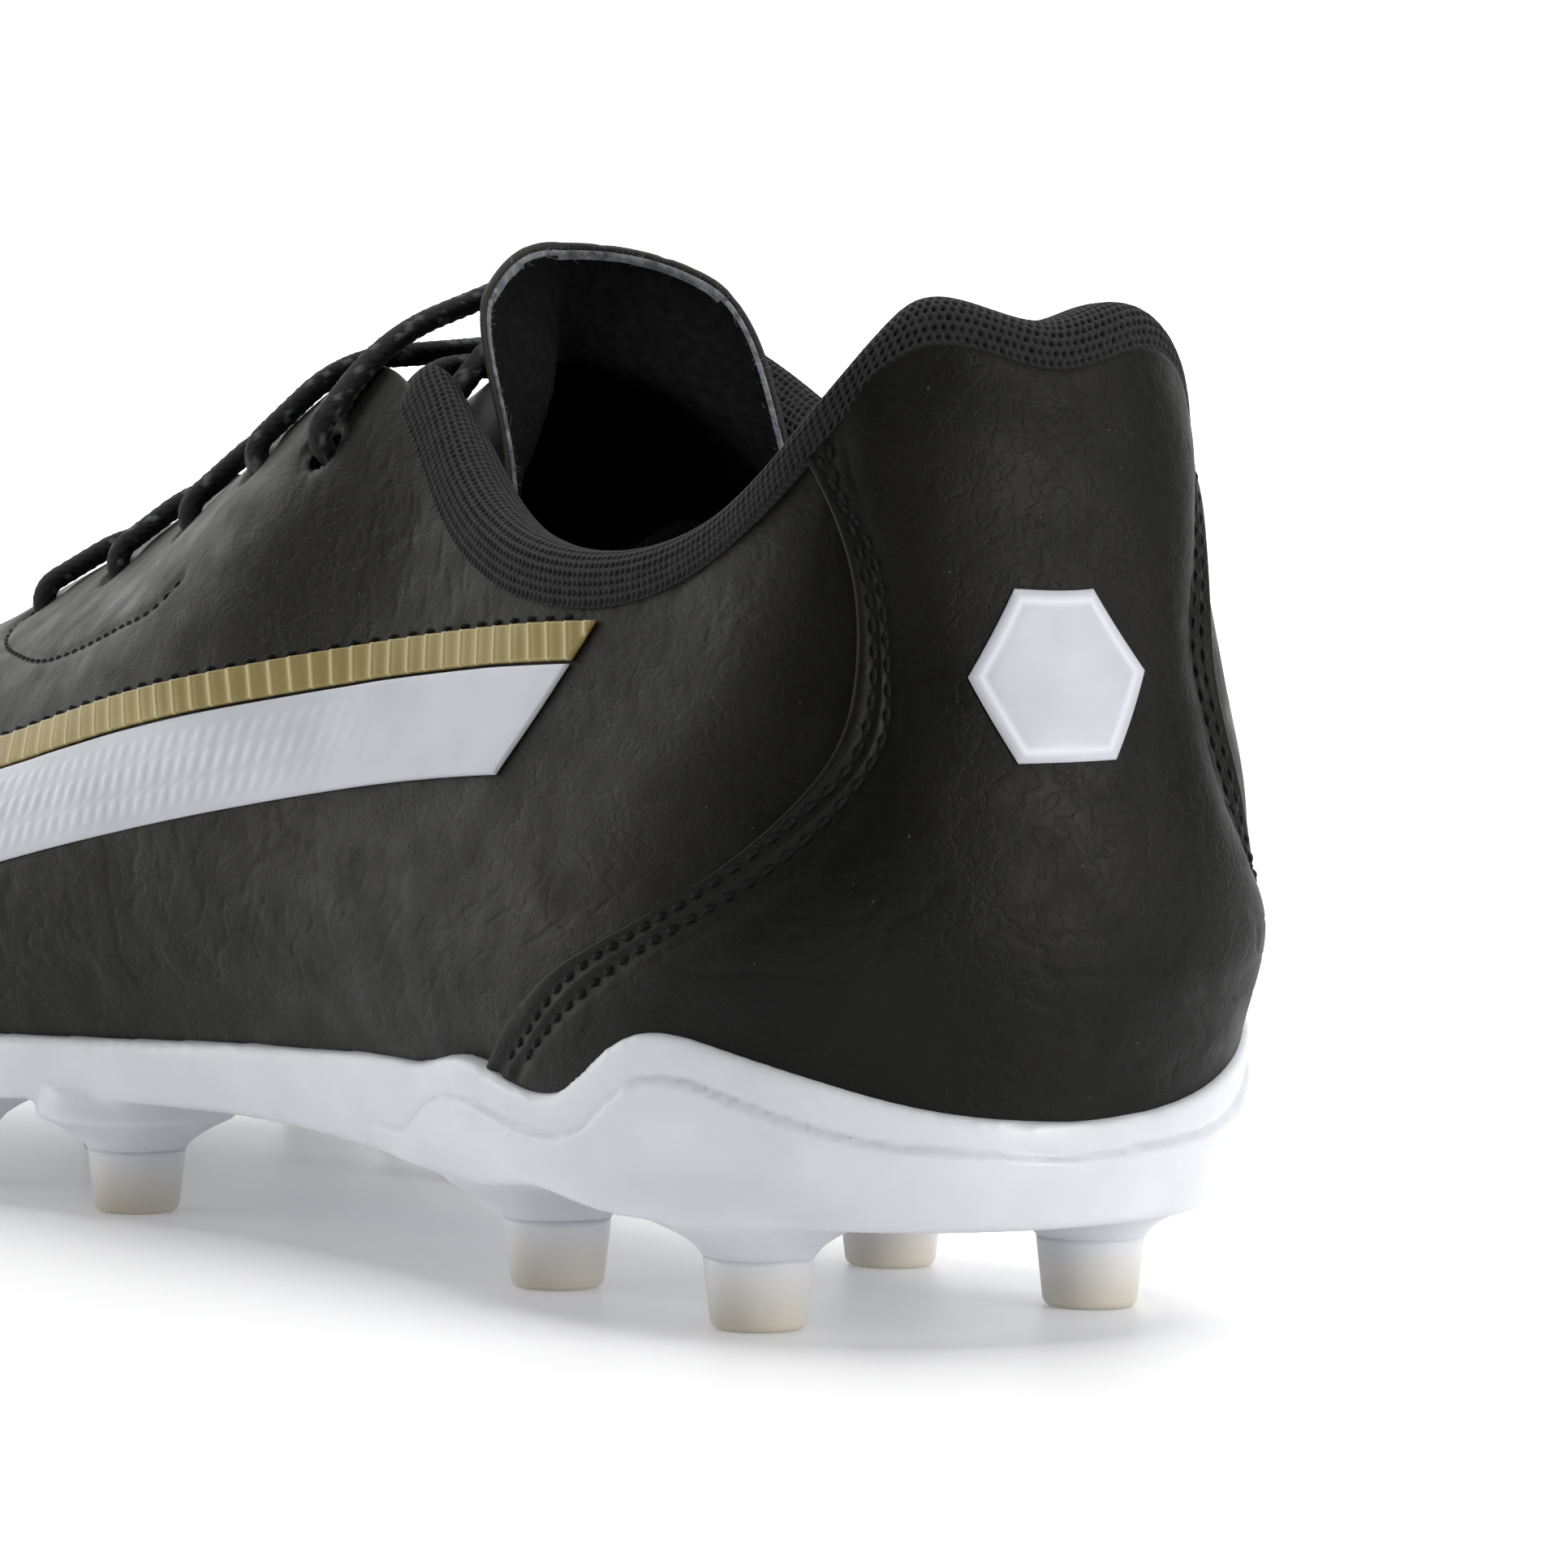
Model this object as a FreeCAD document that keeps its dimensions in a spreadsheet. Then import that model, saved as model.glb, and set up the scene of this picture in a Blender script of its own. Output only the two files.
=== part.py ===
import FreeCAD, Part
import bisect
import math
import os
from FreeCAD import Placement, Rotation, Vector

# Left moulded-stud football boot, millimetres. +X points to the heel, -X to the toe, -Y is the
# outer (lateral) side, +Z is up. The origin is on the ground, under the middle of the boot's box.

os.makedirs("parts", exist_ok=True)
doc = FreeCAD.newDocument("soccer_cleat")

# ---------------------------------------------------------------- driving dimensions

SIZES = {
    "heel_reach": (141.17, "from the origin back to the rear of the last"),
    "side_shift": (1.9, "last centre line, measured from the origin"),
    "leather_gauge": (1.2, "vamp and quarter leather"),
    "panel_gauge": (1.1, "heel panel leather"),
    "stiffener_gauge": (0.8, "heel counter, toe puff and eyestay backing"),
    "lining_gauge": (0.8, "lining cloth"),
    "layer_gap": (0.1, "clearance between two layers"),
    "skin_gap": (0.15, "clearance under a panel or film that lies on the leather"),
    "collar_foam_gauge": (4.0, "collar padding"),
    "film_gauge": (0.4, "side band film"),
    "binding_height": (3.6, "knit binding, above the leather edge"),
    "plate_gauge": (3.0, "outsole plate"),
    "plate_top_gap": (0.2, "from the feather line down to the plate"),
    "plate_margin": (0.5, "plate edge, outside the feather line"),
    "insole_gauge": (1.4, "insole board"),
    "insole_inset": (3.6, "insole board edge, inside the feather line"),
    "sock_foam_gauge": (3.0, "sockliner foam"),
    "sock_cover_gauge": (0.6, "sockliner cloth cover"),
    "sock_inset": (4.0, "sockliner edge, inside the feather line"),
    "rim_reach": (1.9, "thickest part of the outsole rim, outside the last"),
    "rim_lip": (0.9, "top edge of the outsole rim, outside the last"),
    "trim_height": (60.0, "prism that trims a sheet lying on the bed"),
    "stud_root_radius": (7.6, "stud at the plate"),
    "stud_bury": (0.9, "how far a stud runs up into the plate"),
    "stud_waist_radius": (5.2, "stud where its tip starts"),
    "stud_tip_radius": (4.6, "stud at the ground"),
    "stud_tip_height": (6.5, "second-shot stud tip"),
    "stud_tip_round": (1.0, "edge round of a stud tip"),
    "spigot_radius": (3.0, "plate spigot inside a stud tip"),
    "spigot_depth": (3.5, "depth of that spigot"),
    "spigot_gap": (0.1, "clearance round that spigot"),
    "eyelet_radius": (2.4, "punched lace hole"),
    "punch_depth": (6.0, "how far a lace hole's punch reaches under the leather's outer face"),
    "punch_rise": (3.0, "how far that punch stands above it"),
    "lace_radius": (1.5, "lace"),
    "aglet_radius": (1.4, "lace tip"),
    "aglet_height": (18.0, "lace tip"),
    "tongue_depth": (9.7, "tongue face, inside the leather's outer face"),
    "tongue_gauge": (0.9, "tongue leather"),
    "felt_gauge": (2.3, "tongue felt"),
    "emblem_radius": (9.0, "heel emblem, centre to corner"),
}


def make_sheet():
    """Driving dimensions: one aliased cell each, with its meaning beside it."""
    sheet = doc.addObject("Spreadsheet::Sheet", "dimensions")
    for line, (alias, (value, meaning)) in enumerate(SIZES.items(), start=1):
        sheet.set(f"A{line}", str(value))
        sheet.setAlias(f"A{line}", alias)
        sheet.set(f"B{line}", meaning)
    doc.recompute()
    return sheet


sheet = make_sheet()


def size(alias):
    return float(sheet.get(alias))


def bind(item, **names):
    """Bind properties of an object to sheet expressions written with bare aliases."""
    for prop, expression in names.items():
        words = expression.split()
        text = " ".join(f"dimensions.{w}" if w in SIZES else w for w in words)
        item.setExpression(prop.replace("__", "."), text)


# ---------------------------------------------------------------- the last

# One line per station round the last, from the back of the heel along the lateral side, round the
# toe and back along the medial side. Each holds four points (forward, side, up): the feather line,
# the widest line, the edge of the collar and throat, and the ridge that closes the instep.
STATIONS = (
    ((2, 0, 14), (-1, 0, 38), (5.2, 0, 90), (18, 0, 135)),
    ((7, -17, 14), (4, -19.5, 37), (7.5, -12, 92), (20, 0, 135)),
    ((20, -28, 14), (17, -30.5, 35), (13.5, -20, 82.5), (25, 0, 132)),
    ((38, -32, 14), (36, -35, 34), (30, -24, 71.5), (38, 0, 128)),
    ((60, -31, 14.5), (60, -35.5, 32), (53, -26.5, 69.5), (57, 0, 120)),
    ((85, -30.5, 16), (84, -35.5, 34), (77, -23.5, 78), (80, 0, 108)),
    ((110, -32.5, 16.5), (108, -38, 34), (99.5, -18, 90.5), (102, 0, 101)),
    ((140, -39, 15.5), (138, -43.5, 31), (135, -14.5, 81.2), (137, 0, 87)),
    ((170, -45.5, 13.5), (169, -48.5, 28), (170, -12.5, 71), (170, 0, 75)),
    ((200, -47.5, 13), (200, -50, 25), (200, -13, 61.5), (199, 2, 64.4)),
    ((228, -44, 14.5), (228, -46, 25), (223, -14, 53), (221, 3, 55.4)),
    ((254, -34, 18.5), (254, -36, 28), (240, -10, 46.5), (236, 5, 49.3)),
    ((273, -18, 23), (274.5, -19, 30), (249, -2, 43), (243, 5.8, 46.5)),
    ((282, 4, 25.5), (284.5, 4, 32), (253, 6, 42), (245, 6, 46)),
    ((277, 21, 24), (279, 22, 31), (251, 13, 43), (243, 5.8, 46.5)),
    ((260, 34, 19.5), (261, 36, 29), (243, 18, 46.5), (236, 5, 49.3)),
    ((235, 42, 15.5), (235, 44.5, 26), (226, 18, 53), (221, 3, 55.4)),
    ((205, 43.5, 13), (205, 46, 25), (202, 16.5, 61.5), (199, 2, 64.4)),
    ((175, 38.5, 13.5), (174, 41.5, 28), (171, 14.5, 71), (170, 0, 75)),
    ((145, 30, 16.5), (144, 34, 33), (136, 15, 81), (137, 0, 87)),
    ((115, 25, 18.5), (112, 30, 38), (100, 18, 92.5), (102, 0, 101)),
    ((88, 25.5, 17.5), (86, 31, 37), (78, 23.5, 83.5), (80, 0, 108)),
    ((62, 28.5, 15), (62, 33, 35), (54, 26, 73.5), (57, 0, 120)),
    ((39, 31.5, 14), (37, 35, 35), (31, 24, 73.5), (38, 0, 128)),
    ((20, 28, 14), (17, 30, 36), (14, 20, 83.5), (25, 0, 132)),
    ((7, 17, 14), (4, 20, 37), (7.5, 12, 92), (20, 0, 135)),
)
WIDEST = 0.25      # height parameter of the widest line
EDGE = 0.78        # height parameter of the collar and throat edge
RIDGE = 1.0        # height parameter of the closing ridge


def place(forward, side, up):
    """A point given forward of the heel, to the side and up, in the boot's frame."""
    return Vector(size("heel_reach") - forward, side + size("side_shift"), up)


class Last:
    """Surface of the last: q runs once round it, h runs up from the feather line."""

    def __init__(self):
        lines = [[place(*station[i]) for station in STATIONS] for i in range(4)]
        feather = lines[0]
        steps = [a.distanceToPoint(b) for a, b in zip(feather, feather[1:] + feather[:1])]
        total = sum(steps)
        self.q = [sum(steps[:i]) / total for i in range(len(steps) + 1)]
        self.lines = [self.closed_line(points) for points in lines]
        self.sections = {}

    def closed_line(self, points):
        curve = Part.BSplineCurve()
        curve.interpolate(Points=points, Parameters=self.q, PeriodicFlag=True)
        return curve

    def section(self, q):
        """Curve up one side at q, and its parameters at the four lines."""
        key = round(q % 1.0, 6)
        if key not in self.sections:
            points = [line.value(key) for line in self.lines]
            chords = [a.distanceToPoint(b) for a, b in zip(points, points[1:])]
            knots = [0.0, chords[0], chords[0] + chords[1], sum(chords)]
            start = (points[1] - points[0]).normalize()
            end = points[3] - points[2]
            end.z = 0
            curve = Part.BSplineCurve()
            curve.interpolate(
                Points=points,
                Parameters=knots,
                InitialTangent=start,
                FinalTangent=end.normalize(),
                Scale=False,
            )
            self.sections[key] = (curve, knots)
        return self.sections[key]

    def point(self, q, height):
        curve, knots = self.section(q)
        levels = (0.0, WIDEST, EDGE, RIDGE)
        span = min(max(bisect.bisect_right(levels, height) - 1, 0), 2)
        part = (height - levels[span]) / (levels[span + 1] - levels[span])
        return curve.value(knots[span] + part * (knots[span + 1] - knots[span]))

    def normal(self, q, height):
        """Unit vector out of the boot."""
        step = 1e-4
        low = max(height - step, 0.0)
        high = min(height + step, RIDGE)
        up = self.point(q, high) - self.point(q, low)
        along = self.point(q + step, height) - self.point(q - step, height)
        return up.cross(along).normalize()

    def offset(self, q, height, out):
        return self.point(q, height) + self.normal(q, height) * out


last = Last()


def profile(*pairs):
    """A smooth function through (place, value) pairs."""
    keys = [float(pair[0]) for pair in pairs]
    points = [Vector(pair[0], pair[1], 0) for pair in pairs]
    curve = Part.BSplineCurve()
    curve.interpolate(Points=points, Parameters=keys)
    return lambda at: curve.value(min(max(at, keys[0]), keys[-1])).y


def mix(a, b, part):
    return a + (b - a) * part


def ease(at, start, end):
    """0 before start, 1 after end, smooth between them."""
    part = min(max((at - start) / (end - start), 0.0), 1.0)
    return part * part * (3 - 2 * part)


# ---------------------------------------------------------------- thick sheets

def even_curve(points):
    """Interpolating curve with evenly spaced parameters, so that equal points give equal curves."""
    curve = Part.BSplineCurve()
    steps = len(points) - 1
    curve.interpolate(Points=points, Parameters=[i / steps for i in range(steps + 1)])
    return curve


def grid_face(points):
    """Interpolating surface: a curve along each row, then curves across through their poles."""
    rows = [even_curve(row) for row in points]
    columns = [even_curve(list(poles)) for poles in zip(*[row.getPoles() for row in rows])]
    poles = [list(row) for row in zip(*[column.getPoles() for column in columns])]
    surface = Part.BSplineSurface()
    surface.buildFromPolesMultsKnots(
        poles,
        columns[0].getMultiplicities(),
        rows[0].getMultiplicities(),
        columns[0].getKnots(),
        rows[0].getKnots(),
        False,
        False,
        3,
        3,
    )
    return surface


def grid_edges(surface):
    """The four borders of a grid surface: first and last row, first and last column."""
    u_low, u_high, v_low, v_high = surface.bounds()
    curves = (surface.uIso(u_low), surface.uIso(u_high), surface.vIso(v_low), surface.vIso(v_high))
    return [curve.toShape() for curve in curves]


def solid_between(outer, inner, ring=False):
    """Closed solid between two grids of points; a ring's first and last rows are the same."""
    outer_face = grid_face(outer)
    inner_face = grid_face(inner)
    faces = [outer_face.toShape(), inner_face.toShape()]
    borders = list(zip(grid_edges(outer_face), grid_edges(inner_face)))
    for first, second in borders[2:] if ring else borders:
        faces.append(Part.makeRuledSurface(first, second))
    shell = Part.makeShell(faces)
    shell.sewShape()
    solid = Part.Solid(shell)
    if solid.Volume < 0:
        solid.reverse()
    return solid


def layer(where, outside, inside, along=24, across=10):
    """Sheet on the last. where(s, t) gives (q, h); outside and inside give offsets at (q, h)."""
    grids = ([], [])
    for i in range(along + 1):
        rows = ([], [])
        for j in range(across + 1):
            q, height = where(i / along, j / across)
            rows[0].append(last.offset(q, height, outside(q, height)))
            rows[1].append(last.offset(q, height, inside(q, height)))
        grids[0].append(rows[0])
        grids[1].append(rows[1])
    return solid_between(*grids)


def flat(value):
    return lambda q, height: value


def strip(start, end, bottom, top):
    """Map of a piece between two seams q(h) and two levels h(q)."""
    def where(s, t):
        height = mix(bottom(mix(start(0), end(0), s)), top(mix(start(EDGE), end(EDGE), s)), t)
        q = mix(start(height), end(height), s)
        low = bottom(q)
        high = top(q)
        height = mix(low, high, t)
        return mix(start(height), end(height), s), height
    return where


# Depths of the layers below the outer face of the leather.
LEATHER_IN = -size("leather_gauge")
STIFF_OUT = LEATHER_IN - size("layer_gap")
STIFF_IN = STIFF_OUT - size("stiffener_gauge")
LINING_OUT = STIFF_IN - size("layer_gap")
LINING_IN = LINING_OUT - size("lining_gauge")


def constant(value):
    return lambda at: value


def feature(name, shape, moved=None):
    item = doc.addObject("Part::Feature", name)
    item.Label = name
    item.Shape = shape
    item.Placement = moved or Placement()
    return item


# ---------------------------------------------------------------- seams, in (h, q) on the last

# Rear edges of the two quarters and the heel panel that covers them.
panel_lateral = profile(
    (0.0, 0.112), (0.125, 0.0975), (0.25, 0.0765), (0.35, 0.0495), (0.42, 0.0365), (0.5, 0.0333),
    (0.6, 0.0368), (0.7, 0.0465), (0.78, 0.056),
)
panel_medial = profile(
    (0.0, -0.108), (0.125, -0.085), (0.22, -0.056), (0.3, -0.038), (0.4, -0.0298), (0.5, -0.028),
    (0.6, -0.035), (0.7, -0.047), (0.78, -0.056),
)
PANEL_LAP = 0.012  # how far a quarter runs on under the heel panel

# Seams between the vamp and the quarters.
vamp_lateral = profile((0.0, 0.288), (0.2, 0.292), (0.4, 0.3), (0.6, 0.316), (0.78, 0.342))
vamp_medial = profile((0.0, 0.702), (0.2, 0.698), (0.4, 0.69), (0.6, 0.675), (0.78, 0.65))
SEAM_GAP = 0.0007

# Top edge of the outsole rim, from the heel round the lateral side to the toe.
BITE_LINE = (
    (0.0, 0.071), (0.0133, 0.079), (0.0242, 0.096), (0.0358, 0.125), (0.0475, 0.156),
    (0.0592, 0.175), (0.0665, 0.157), (0.075, 0.11), (0.0815, 0.096), (0.0917, 0.108),
    (0.104, 0.132), (0.12, 0.113), (0.135, 0.1), (0.158, 0.076), (0.184, 0.062),
    (0.2075, 0.055), (0.25, 0.06), (0.31, 0.08), (0.38, 0.1), (0.45, 0.125), (0.5, 0.14),
)
bite_half = profile(*BITE_LINE, (0.51, 0.14))


def bite_line(q):
    """Both sides of the rim have the same outline."""
    around = q % 1.0
    return bite_half(min(around, 1.0 - around))


COLLAR_LATERAL = 0.187   # ends of the knit binding
COLLAR_MEDIAL = -0.196
TUCK = 0.006             # the upper starts this far up from the feather line


def below_binding(q):
    return EDGE - 0.004


# ---------------------------------------------------------------- outsole

def outline_wire(out):
    """Feather line in plan, moved outwards, as one closed curve."""
    points = []
    count = 72
    for i in range(count):
        q = i / count
        here = last.point(q, 0.0)
        along = last.point(q + 1e-3, 0.0) - last.point(q - 1e-3, 0.0)
        side = Vector(0, 0, 1).cross(along)
        side.z = 0
        here = here + side.normalize() * out
        points.append(Vector(here.x, here.y, 0))
    curve = Part.BSplineCurve()
    curve.interpolate(Points=points, PeriodicFlag=True)
    return Part.Wire(curve.toShape())


def bed_face():
    """The feather line's height, as a face wider than the boot: one border for each side."""
    half = len(STATIONS) // 2
    margin = 14.0
    sides = []
    for stations, side in ((STATIONS[:half + 1], -1), (STATIONS[half:] + STATIONS[:1], 1)):
        heights = sorted((station[0][0], station[0][2]) for station in stations)
        heights = [(heights[0][0] - margin, heights[0][1])] + heights
        heights.append((heights[-1][0] + margin, heights[-1][1] + 4.0))
        points = [place(forward, side * 60, up) for forward, up in heights]
        curve = Part.BSplineCurve()
        curve.interpolate(points)
        sides.append(curve.toShape())
    return Part.makeRuledSurface(*sides)


bed = feature("bed", bed_face())


def slab(name, edge_out, low, gauge):
    """A sheet that lies on the bed: an outline's prism shared with a band of the bed's height."""
    outline = feature(f"{name}_outline", outline_wire(edge_out))
    prism = doc.addObject("Part::Extrusion", f"{name}_prism")
    prism.Base = outline
    prism.DirMode = "Custom"
    prism.Dir = Vector(0, 0, 1)
    bind(prism, LengthFwd="trim_height")
    prism.Solid = True
    band = doc.addObject("Part::Extrusion", f"{name}_band")
    band.Base = bed
    band.DirMode = "Custom"
    band.Dir = Vector(0, 0, 1)
    bind(band, LengthFwd=gauge)
    bind(band, Placement__Base__z=low)
    common = doc.addObject("Part::Common", name)
    common.Base = prism
    common.Tool = band
    common.Label = name
    return common


def panel_share(q):
    """1 round the heel, where the heel panel tucks into the rim, 0 elsewhere."""
    return 1.0 - ease(min(q % 1.0, 1.0 - q % 1.0), 0.108, 0.132)


def rim_solid():
    """Rim that cups the upper: its section runs from inside the plate round to the bite line."""
    reach = size("rim_reach")
    lip = size("rim_lip")
    plate = size("plate_gauge") + size("plate_top_gap")
    skin = 0.12
    outer_low = ((-2.5, 1.2 - plate), (0.0, -plate - 0.3), (reach - 0.5, 1.0 - plate))
    inner_low = ((-2.2, -1.0), (-1.0, -0.6), (skin, -0.1))
    panel = size("panel_gauge") + size("skin_gap") + size("layer_gap")
    count = 110
    outer = []
    inner = []
    start = 0.85
    for i in range(count + 1):
        q = (start + i / count) % 1.0
        top = bite_line(q)
        foot = last.point(q, 0.0)
        out = last.normal(q, 0.01)
        out.z = 0
        out.normalize()
        pocket = panel_share(q) * panel
        swell = pocket * 0.8
        outer_high = ((0.1, reach), (0.45, reach - 0.1 + swell * 0.5), (1.0, lip + swell))
        inner_high = ((0.1, skin), (0.42, skin + pocket), (1.0, skin + pocket))
        for rows, low, high in ((outer, outer_low, outer_high), (inner, inner_low, inner_high)):
            row = [foot + out * side + Vector(0, 0, up) for side, up in low]
            row += [last.offset(q, part * top, side) for part, side in high]
            rows.append(row)
    outer[-1] = outer[0]
    inner[-1] = inner[0]
    return solid_between(outer, inner, ring=True)


STUDS = {
    "heel_lateral_rear": (24.0, -18.6, 0.0),
    "heel_medial_rear": (23.8, 18.4, 0.0),
    "heel_lateral_front": (59.5, -20.2, 0.0),
    "heel_medial_front": (59.7, 18.3, 0.0),
    "fore_lateral_1": (136.0, -29.0, 0.0),
    "fore_lateral_2": (169.0, -36.0, 0.0),
    "fore_lateral_3": (204.0, -37.5, 0.0),
    "fore_lateral_4": (237.0, -28.0, 1.2),
    "fore_medial_1": (148.0, 20.0, 0.0),
    "fore_medial_2": (180.0, 29.0, 0.0),
    "fore_medial_3": (212.0, 32.5, 0.0),
    "fore_medial_4": (243.0, 23.0, 1.2),
    "fore_centre": (192.0, -4.0, 0.0),
}


def bed_height(forward, side):
    """Height of the feather line's level at a place in plan."""
    here = place(forward, side, 0)
    ray = Part.makeLine(Vector(here.x, here.y, -50), Vector(here.x, here.y, 150))
    return bed.Shape.distToShape(ray)[1][0][0].z


def stud_body(name, forward, side, low):
    """Cone moulded with the plate, and the spigot that the tip is moulded round."""
    cone = doc.addObject("Part::Cone", f"stud_{name}")
    spigot = doc.addObject("Part::Cylinder", f"spigot_{name}")
    base = place(forward, side, low + size("stud_tip_height"))
    plate_low = bed_height(forward, side) - size("plate_gauge") - size("plate_top_gap")
    bind(cone, Radius1="stud_waist_radius", Radius2="stud_root_radius")
    cone.Height = plate_low + size("stud_bury") - base.z
    cone.Placement.Base = base
    bind(spigot, Radius="spigot_radius", Height="spigot_depth + 1.0")
    spigot.Placement.Base = base - Vector(0, 0, size("spigot_depth"))
    return [cone, spigot]


def stud_tip(name, forward, side, low):
    """Second-shot tip: a rounded cone with a socket for the spigot."""
    cone = doc.addObject("Part::Cone", f"tip_blank_{name}")
    bind(cone, Radius1="stud_tip_radius", Radius2="stud_waist_radius", Height="stud_tip_height")
    socket = doc.addObject("Part::Cylinder", f"tip_socket_{name}")
    bind(socket, Radius="spigot_radius + spigot_gap", Height="spigot_depth + 1.0")
    depth = size("stud_tip_height") - size("spigot_depth") - size("spigot_gap")
    cone.Placement.Base = place(forward, side, low)
    socket.Placement.Base = place(forward, side, low + depth)
    rounded = doc.addObject("Part::Fillet", f"tip_round_{name}")
    rounded.Base = cone
    doc.recompute()
    ground_edge = min(range(3), key=lambda i: cone.Shape.Edges[i].BoundBox.ZMax) + 1
    rounded.Edges = [(ground_edge, size("stud_tip_round"), size("stud_tip_round"))]
    tip = doc.addObject("Part::Cut", f"stud_tip_{name}")
    tip.Base = rounded
    tip.Tool = socket
    tip.Label = f"stud_tip_{name}"
    return tip


def make_outsole():
    plate = slab("plate_blank", size("plate_margin"), "0 - plate_gauge - plate_top_gap",
                 "plate_gauge")
    rim = feature("rim", rim_solid())
    bodies = [plate, rim]
    tips = []
    for name, (forward, side, low) in STUDS.items():
        bodies += stud_body(name, forward, side, low)
        tips.append(stud_tip(name, forward, side, low))
    outsole = doc.addObject("Part::MultiFuse", "outsole_plate")
    outsole.Shapes = bodies
    outsole.Label = "outsole_plate"
    return [outsole] + tips


def make_footbed():
    board_low = "layer_gap - plate_top_gap"
    foam_low = f"{board_low} + insole_gauge + layer_gap"
    cover_low = f"{foam_low} + sock_foam_gauge + layer_gap"
    return [
        slab("insole_board", -size("insole_inset"), board_low, "insole_gauge"),
        slab("sockliner_foam", -size("sock_inset"), foam_low, "sock_foam_gauge"),
        slab("sockliner_cover", -size("sock_inset") - 0.1, cover_low, "sock_cover_gauge"),
    ]


# ---------------------------------------------------------------- upper

EYELETS = 5
EYELET_LEVEL = 0.685
LATERAL_EYELETS = (0.3, 0.272, 0.2455, 0.2215, 0.198)
MEDIAL_EYELETS = (-0.306, -0.28, -0.252, -0.2305, -0.2065)


def eyelet_punch(name, eyelets):
    """The lace holes of one side, as rods square to the leather."""
    rods = []
    for i in range(EYELETS):
        q = eyelets[i]
        out = last.normal(q, EYELET_LEVEL)
        rod = doc.addObject("Part::Cylinder", f"{name}_{i + 1}")
        bind(rod, Radius="eyelet_radius")
        rod.Height = size("punch_depth") + size("punch_rise")
        base = last.offset(q, EYELET_LEVEL, -size("punch_depth"))
        rod.Placement = Placement(base, Rotation(Vector(0, 0, 1), out))
        rods.append(rod)
    punch = doc.addObject("Part::MultiFuse", name)
    punch.Shapes = rods
    return punch


def punched(name, shape, punch):
    blank = feature(f"{name}_blank", shape)
    cut = doc.addObject("Part::Cut", name)
    cut.Base = blank
    cut.Tool = punch
    cut.Label = name
    return cut


def make_quarters(punches):
    lateral = strip(
        lambda h: panel_lateral(h) - PANEL_LAP,
        lambda h: vamp_lateral(h) - SEAM_GAP,
        constant(TUCK),
        below_binding,
    )
    medial = strip(
        lambda h: vamp_medial(h) + SEAM_GAP,
        lambda h: 1.0 + panel_medial(h) + PANEL_LAP,
        constant(TUCK),
        below_binding,
    )
    return [
        punched("quarter_lateral", layer(lateral, flat(0.0), flat(LEATHER_IN), 36, 14), punches[0]),
        punched("quarter_medial", layer(medial, flat(0.0), flat(LEATHER_IN), 36, 14), punches[1]),
    ]


def vamp_sheet(outside, inside, start=0.0, level=EDGE, along=22, across=12):
    """Shell over the forefoot, from the seams (or a part of the way on) round the toe.

    It is made as a lateral and a medial half that share the ridge and the toe line."""
    middle = 0.503
    halves = []
    for seam, gap in ((vamp_lateral, SEAM_GAP), (vamp_medial, -SEAM_GAP)):
        outer = []
        inner = []
        for i in range(along + 1):
            part = mix(start, 1.0, i / along)
            rows = ([], [])
            for j in range(across + 1):
                height = mix(TUCK, RIDGE, j / across)
                q = mix(seam(min(height, level)) + gap, middle, part)
                for row, out in ((rows[0], outside), (rows[1], inside)):
                    row.append(last.offset(q, min(height, 0.9995), out))
            outer.append(rows[0])
            inner.append(rows[1])
        halves.append((outer, inner))
    (outer_a, inner_a), (outer_b, inner_b) = halves
    for first, second in ((outer_a, outer_b), (inner_a, inner_b)):
        for row_a, row_b in zip(first, second):
            ridge = (row_a[-1] + row_b[-1]) * 0.5
            row_a[-1] = ridge
            row_b[-1] = ridge
        second[-1] = list(first[-1])
    faces = []
    for outer, inner in halves:
        outer_face = grid_face(outer)
        inner_face = grid_face(inner)
        faces += [outer_face.toShape(), inner_face.toShape()]
        borders = list(zip(grid_edges(outer_face), grid_edges(inner_face)))
        for first, second in (borders[0], borders[2]):
            faces.append(Part.makeRuledSurface(first, second))
    shell = Part.makeShell(faces)
    shell.sewShape()
    solid = Part.Solid(shell)
    if solid.Volume < 0:
        solid.reverse()
    return solid


def collar_share(q):
    """1 round the collar, 0 along the throat, where the lining lies flat on its backing."""
    around = q % 1.0
    return 1.0 - ease(min(around, 1.0 - around), 0.16, 0.195)


def foam_depth(q, height):
    return size("collar_foam_gauge") * collar_share(q) * ease(height, 0.5, 0.6)


def lining_outside(q, height):
    return LINING_OUT - foam_depth(q, height)


def lining_inside(q, height):
    return LINING_IN - foam_depth(q, height)


def make_vamp():
    return [
        feature("vamp", vamp_sheet(0.0, LEATHER_IN)),
        feature("toe_puff", vamp_sheet(STIFF_OUT, STIFF_IN, start=0.62)),
        feature("vamp_lining", vamp_sheet(LINING_OUT, LINING_IN)),
    ]


def make_heel():
    """Heel panel over its padding and the stiff heel counter."""
    clear = size("skin_gap")
    panel = strip(panel_medial, panel_lateral, lambda q: 0.6 * bite_line(q), below_binding)
    pad = strip(
        lambda h: panel_medial(h) + PANEL_LAP + 0.0006,
        lambda h: panel_lateral(h) - PANEL_LAP - 0.0006,
        constant(TUCK + 0.02),
        below_binding,
    )
    counter = strip(constant(-0.125), constant(0.125), constant(TUCK), constant(0.5))
    panel_out = clear + size("panel_gauge")
    return [
        feature("heel_panel", layer(panel, flat(panel_out), flat(clear), 30, 16)),
        feature("heel_panel_padding", layer(pad, flat(-clear), flat(LEATHER_IN), 16, 14)),
        feature("heel_counter", layer(counter, flat(STIFF_OUT), flat(STIFF_IN), 30, 10)),
    ]


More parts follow.
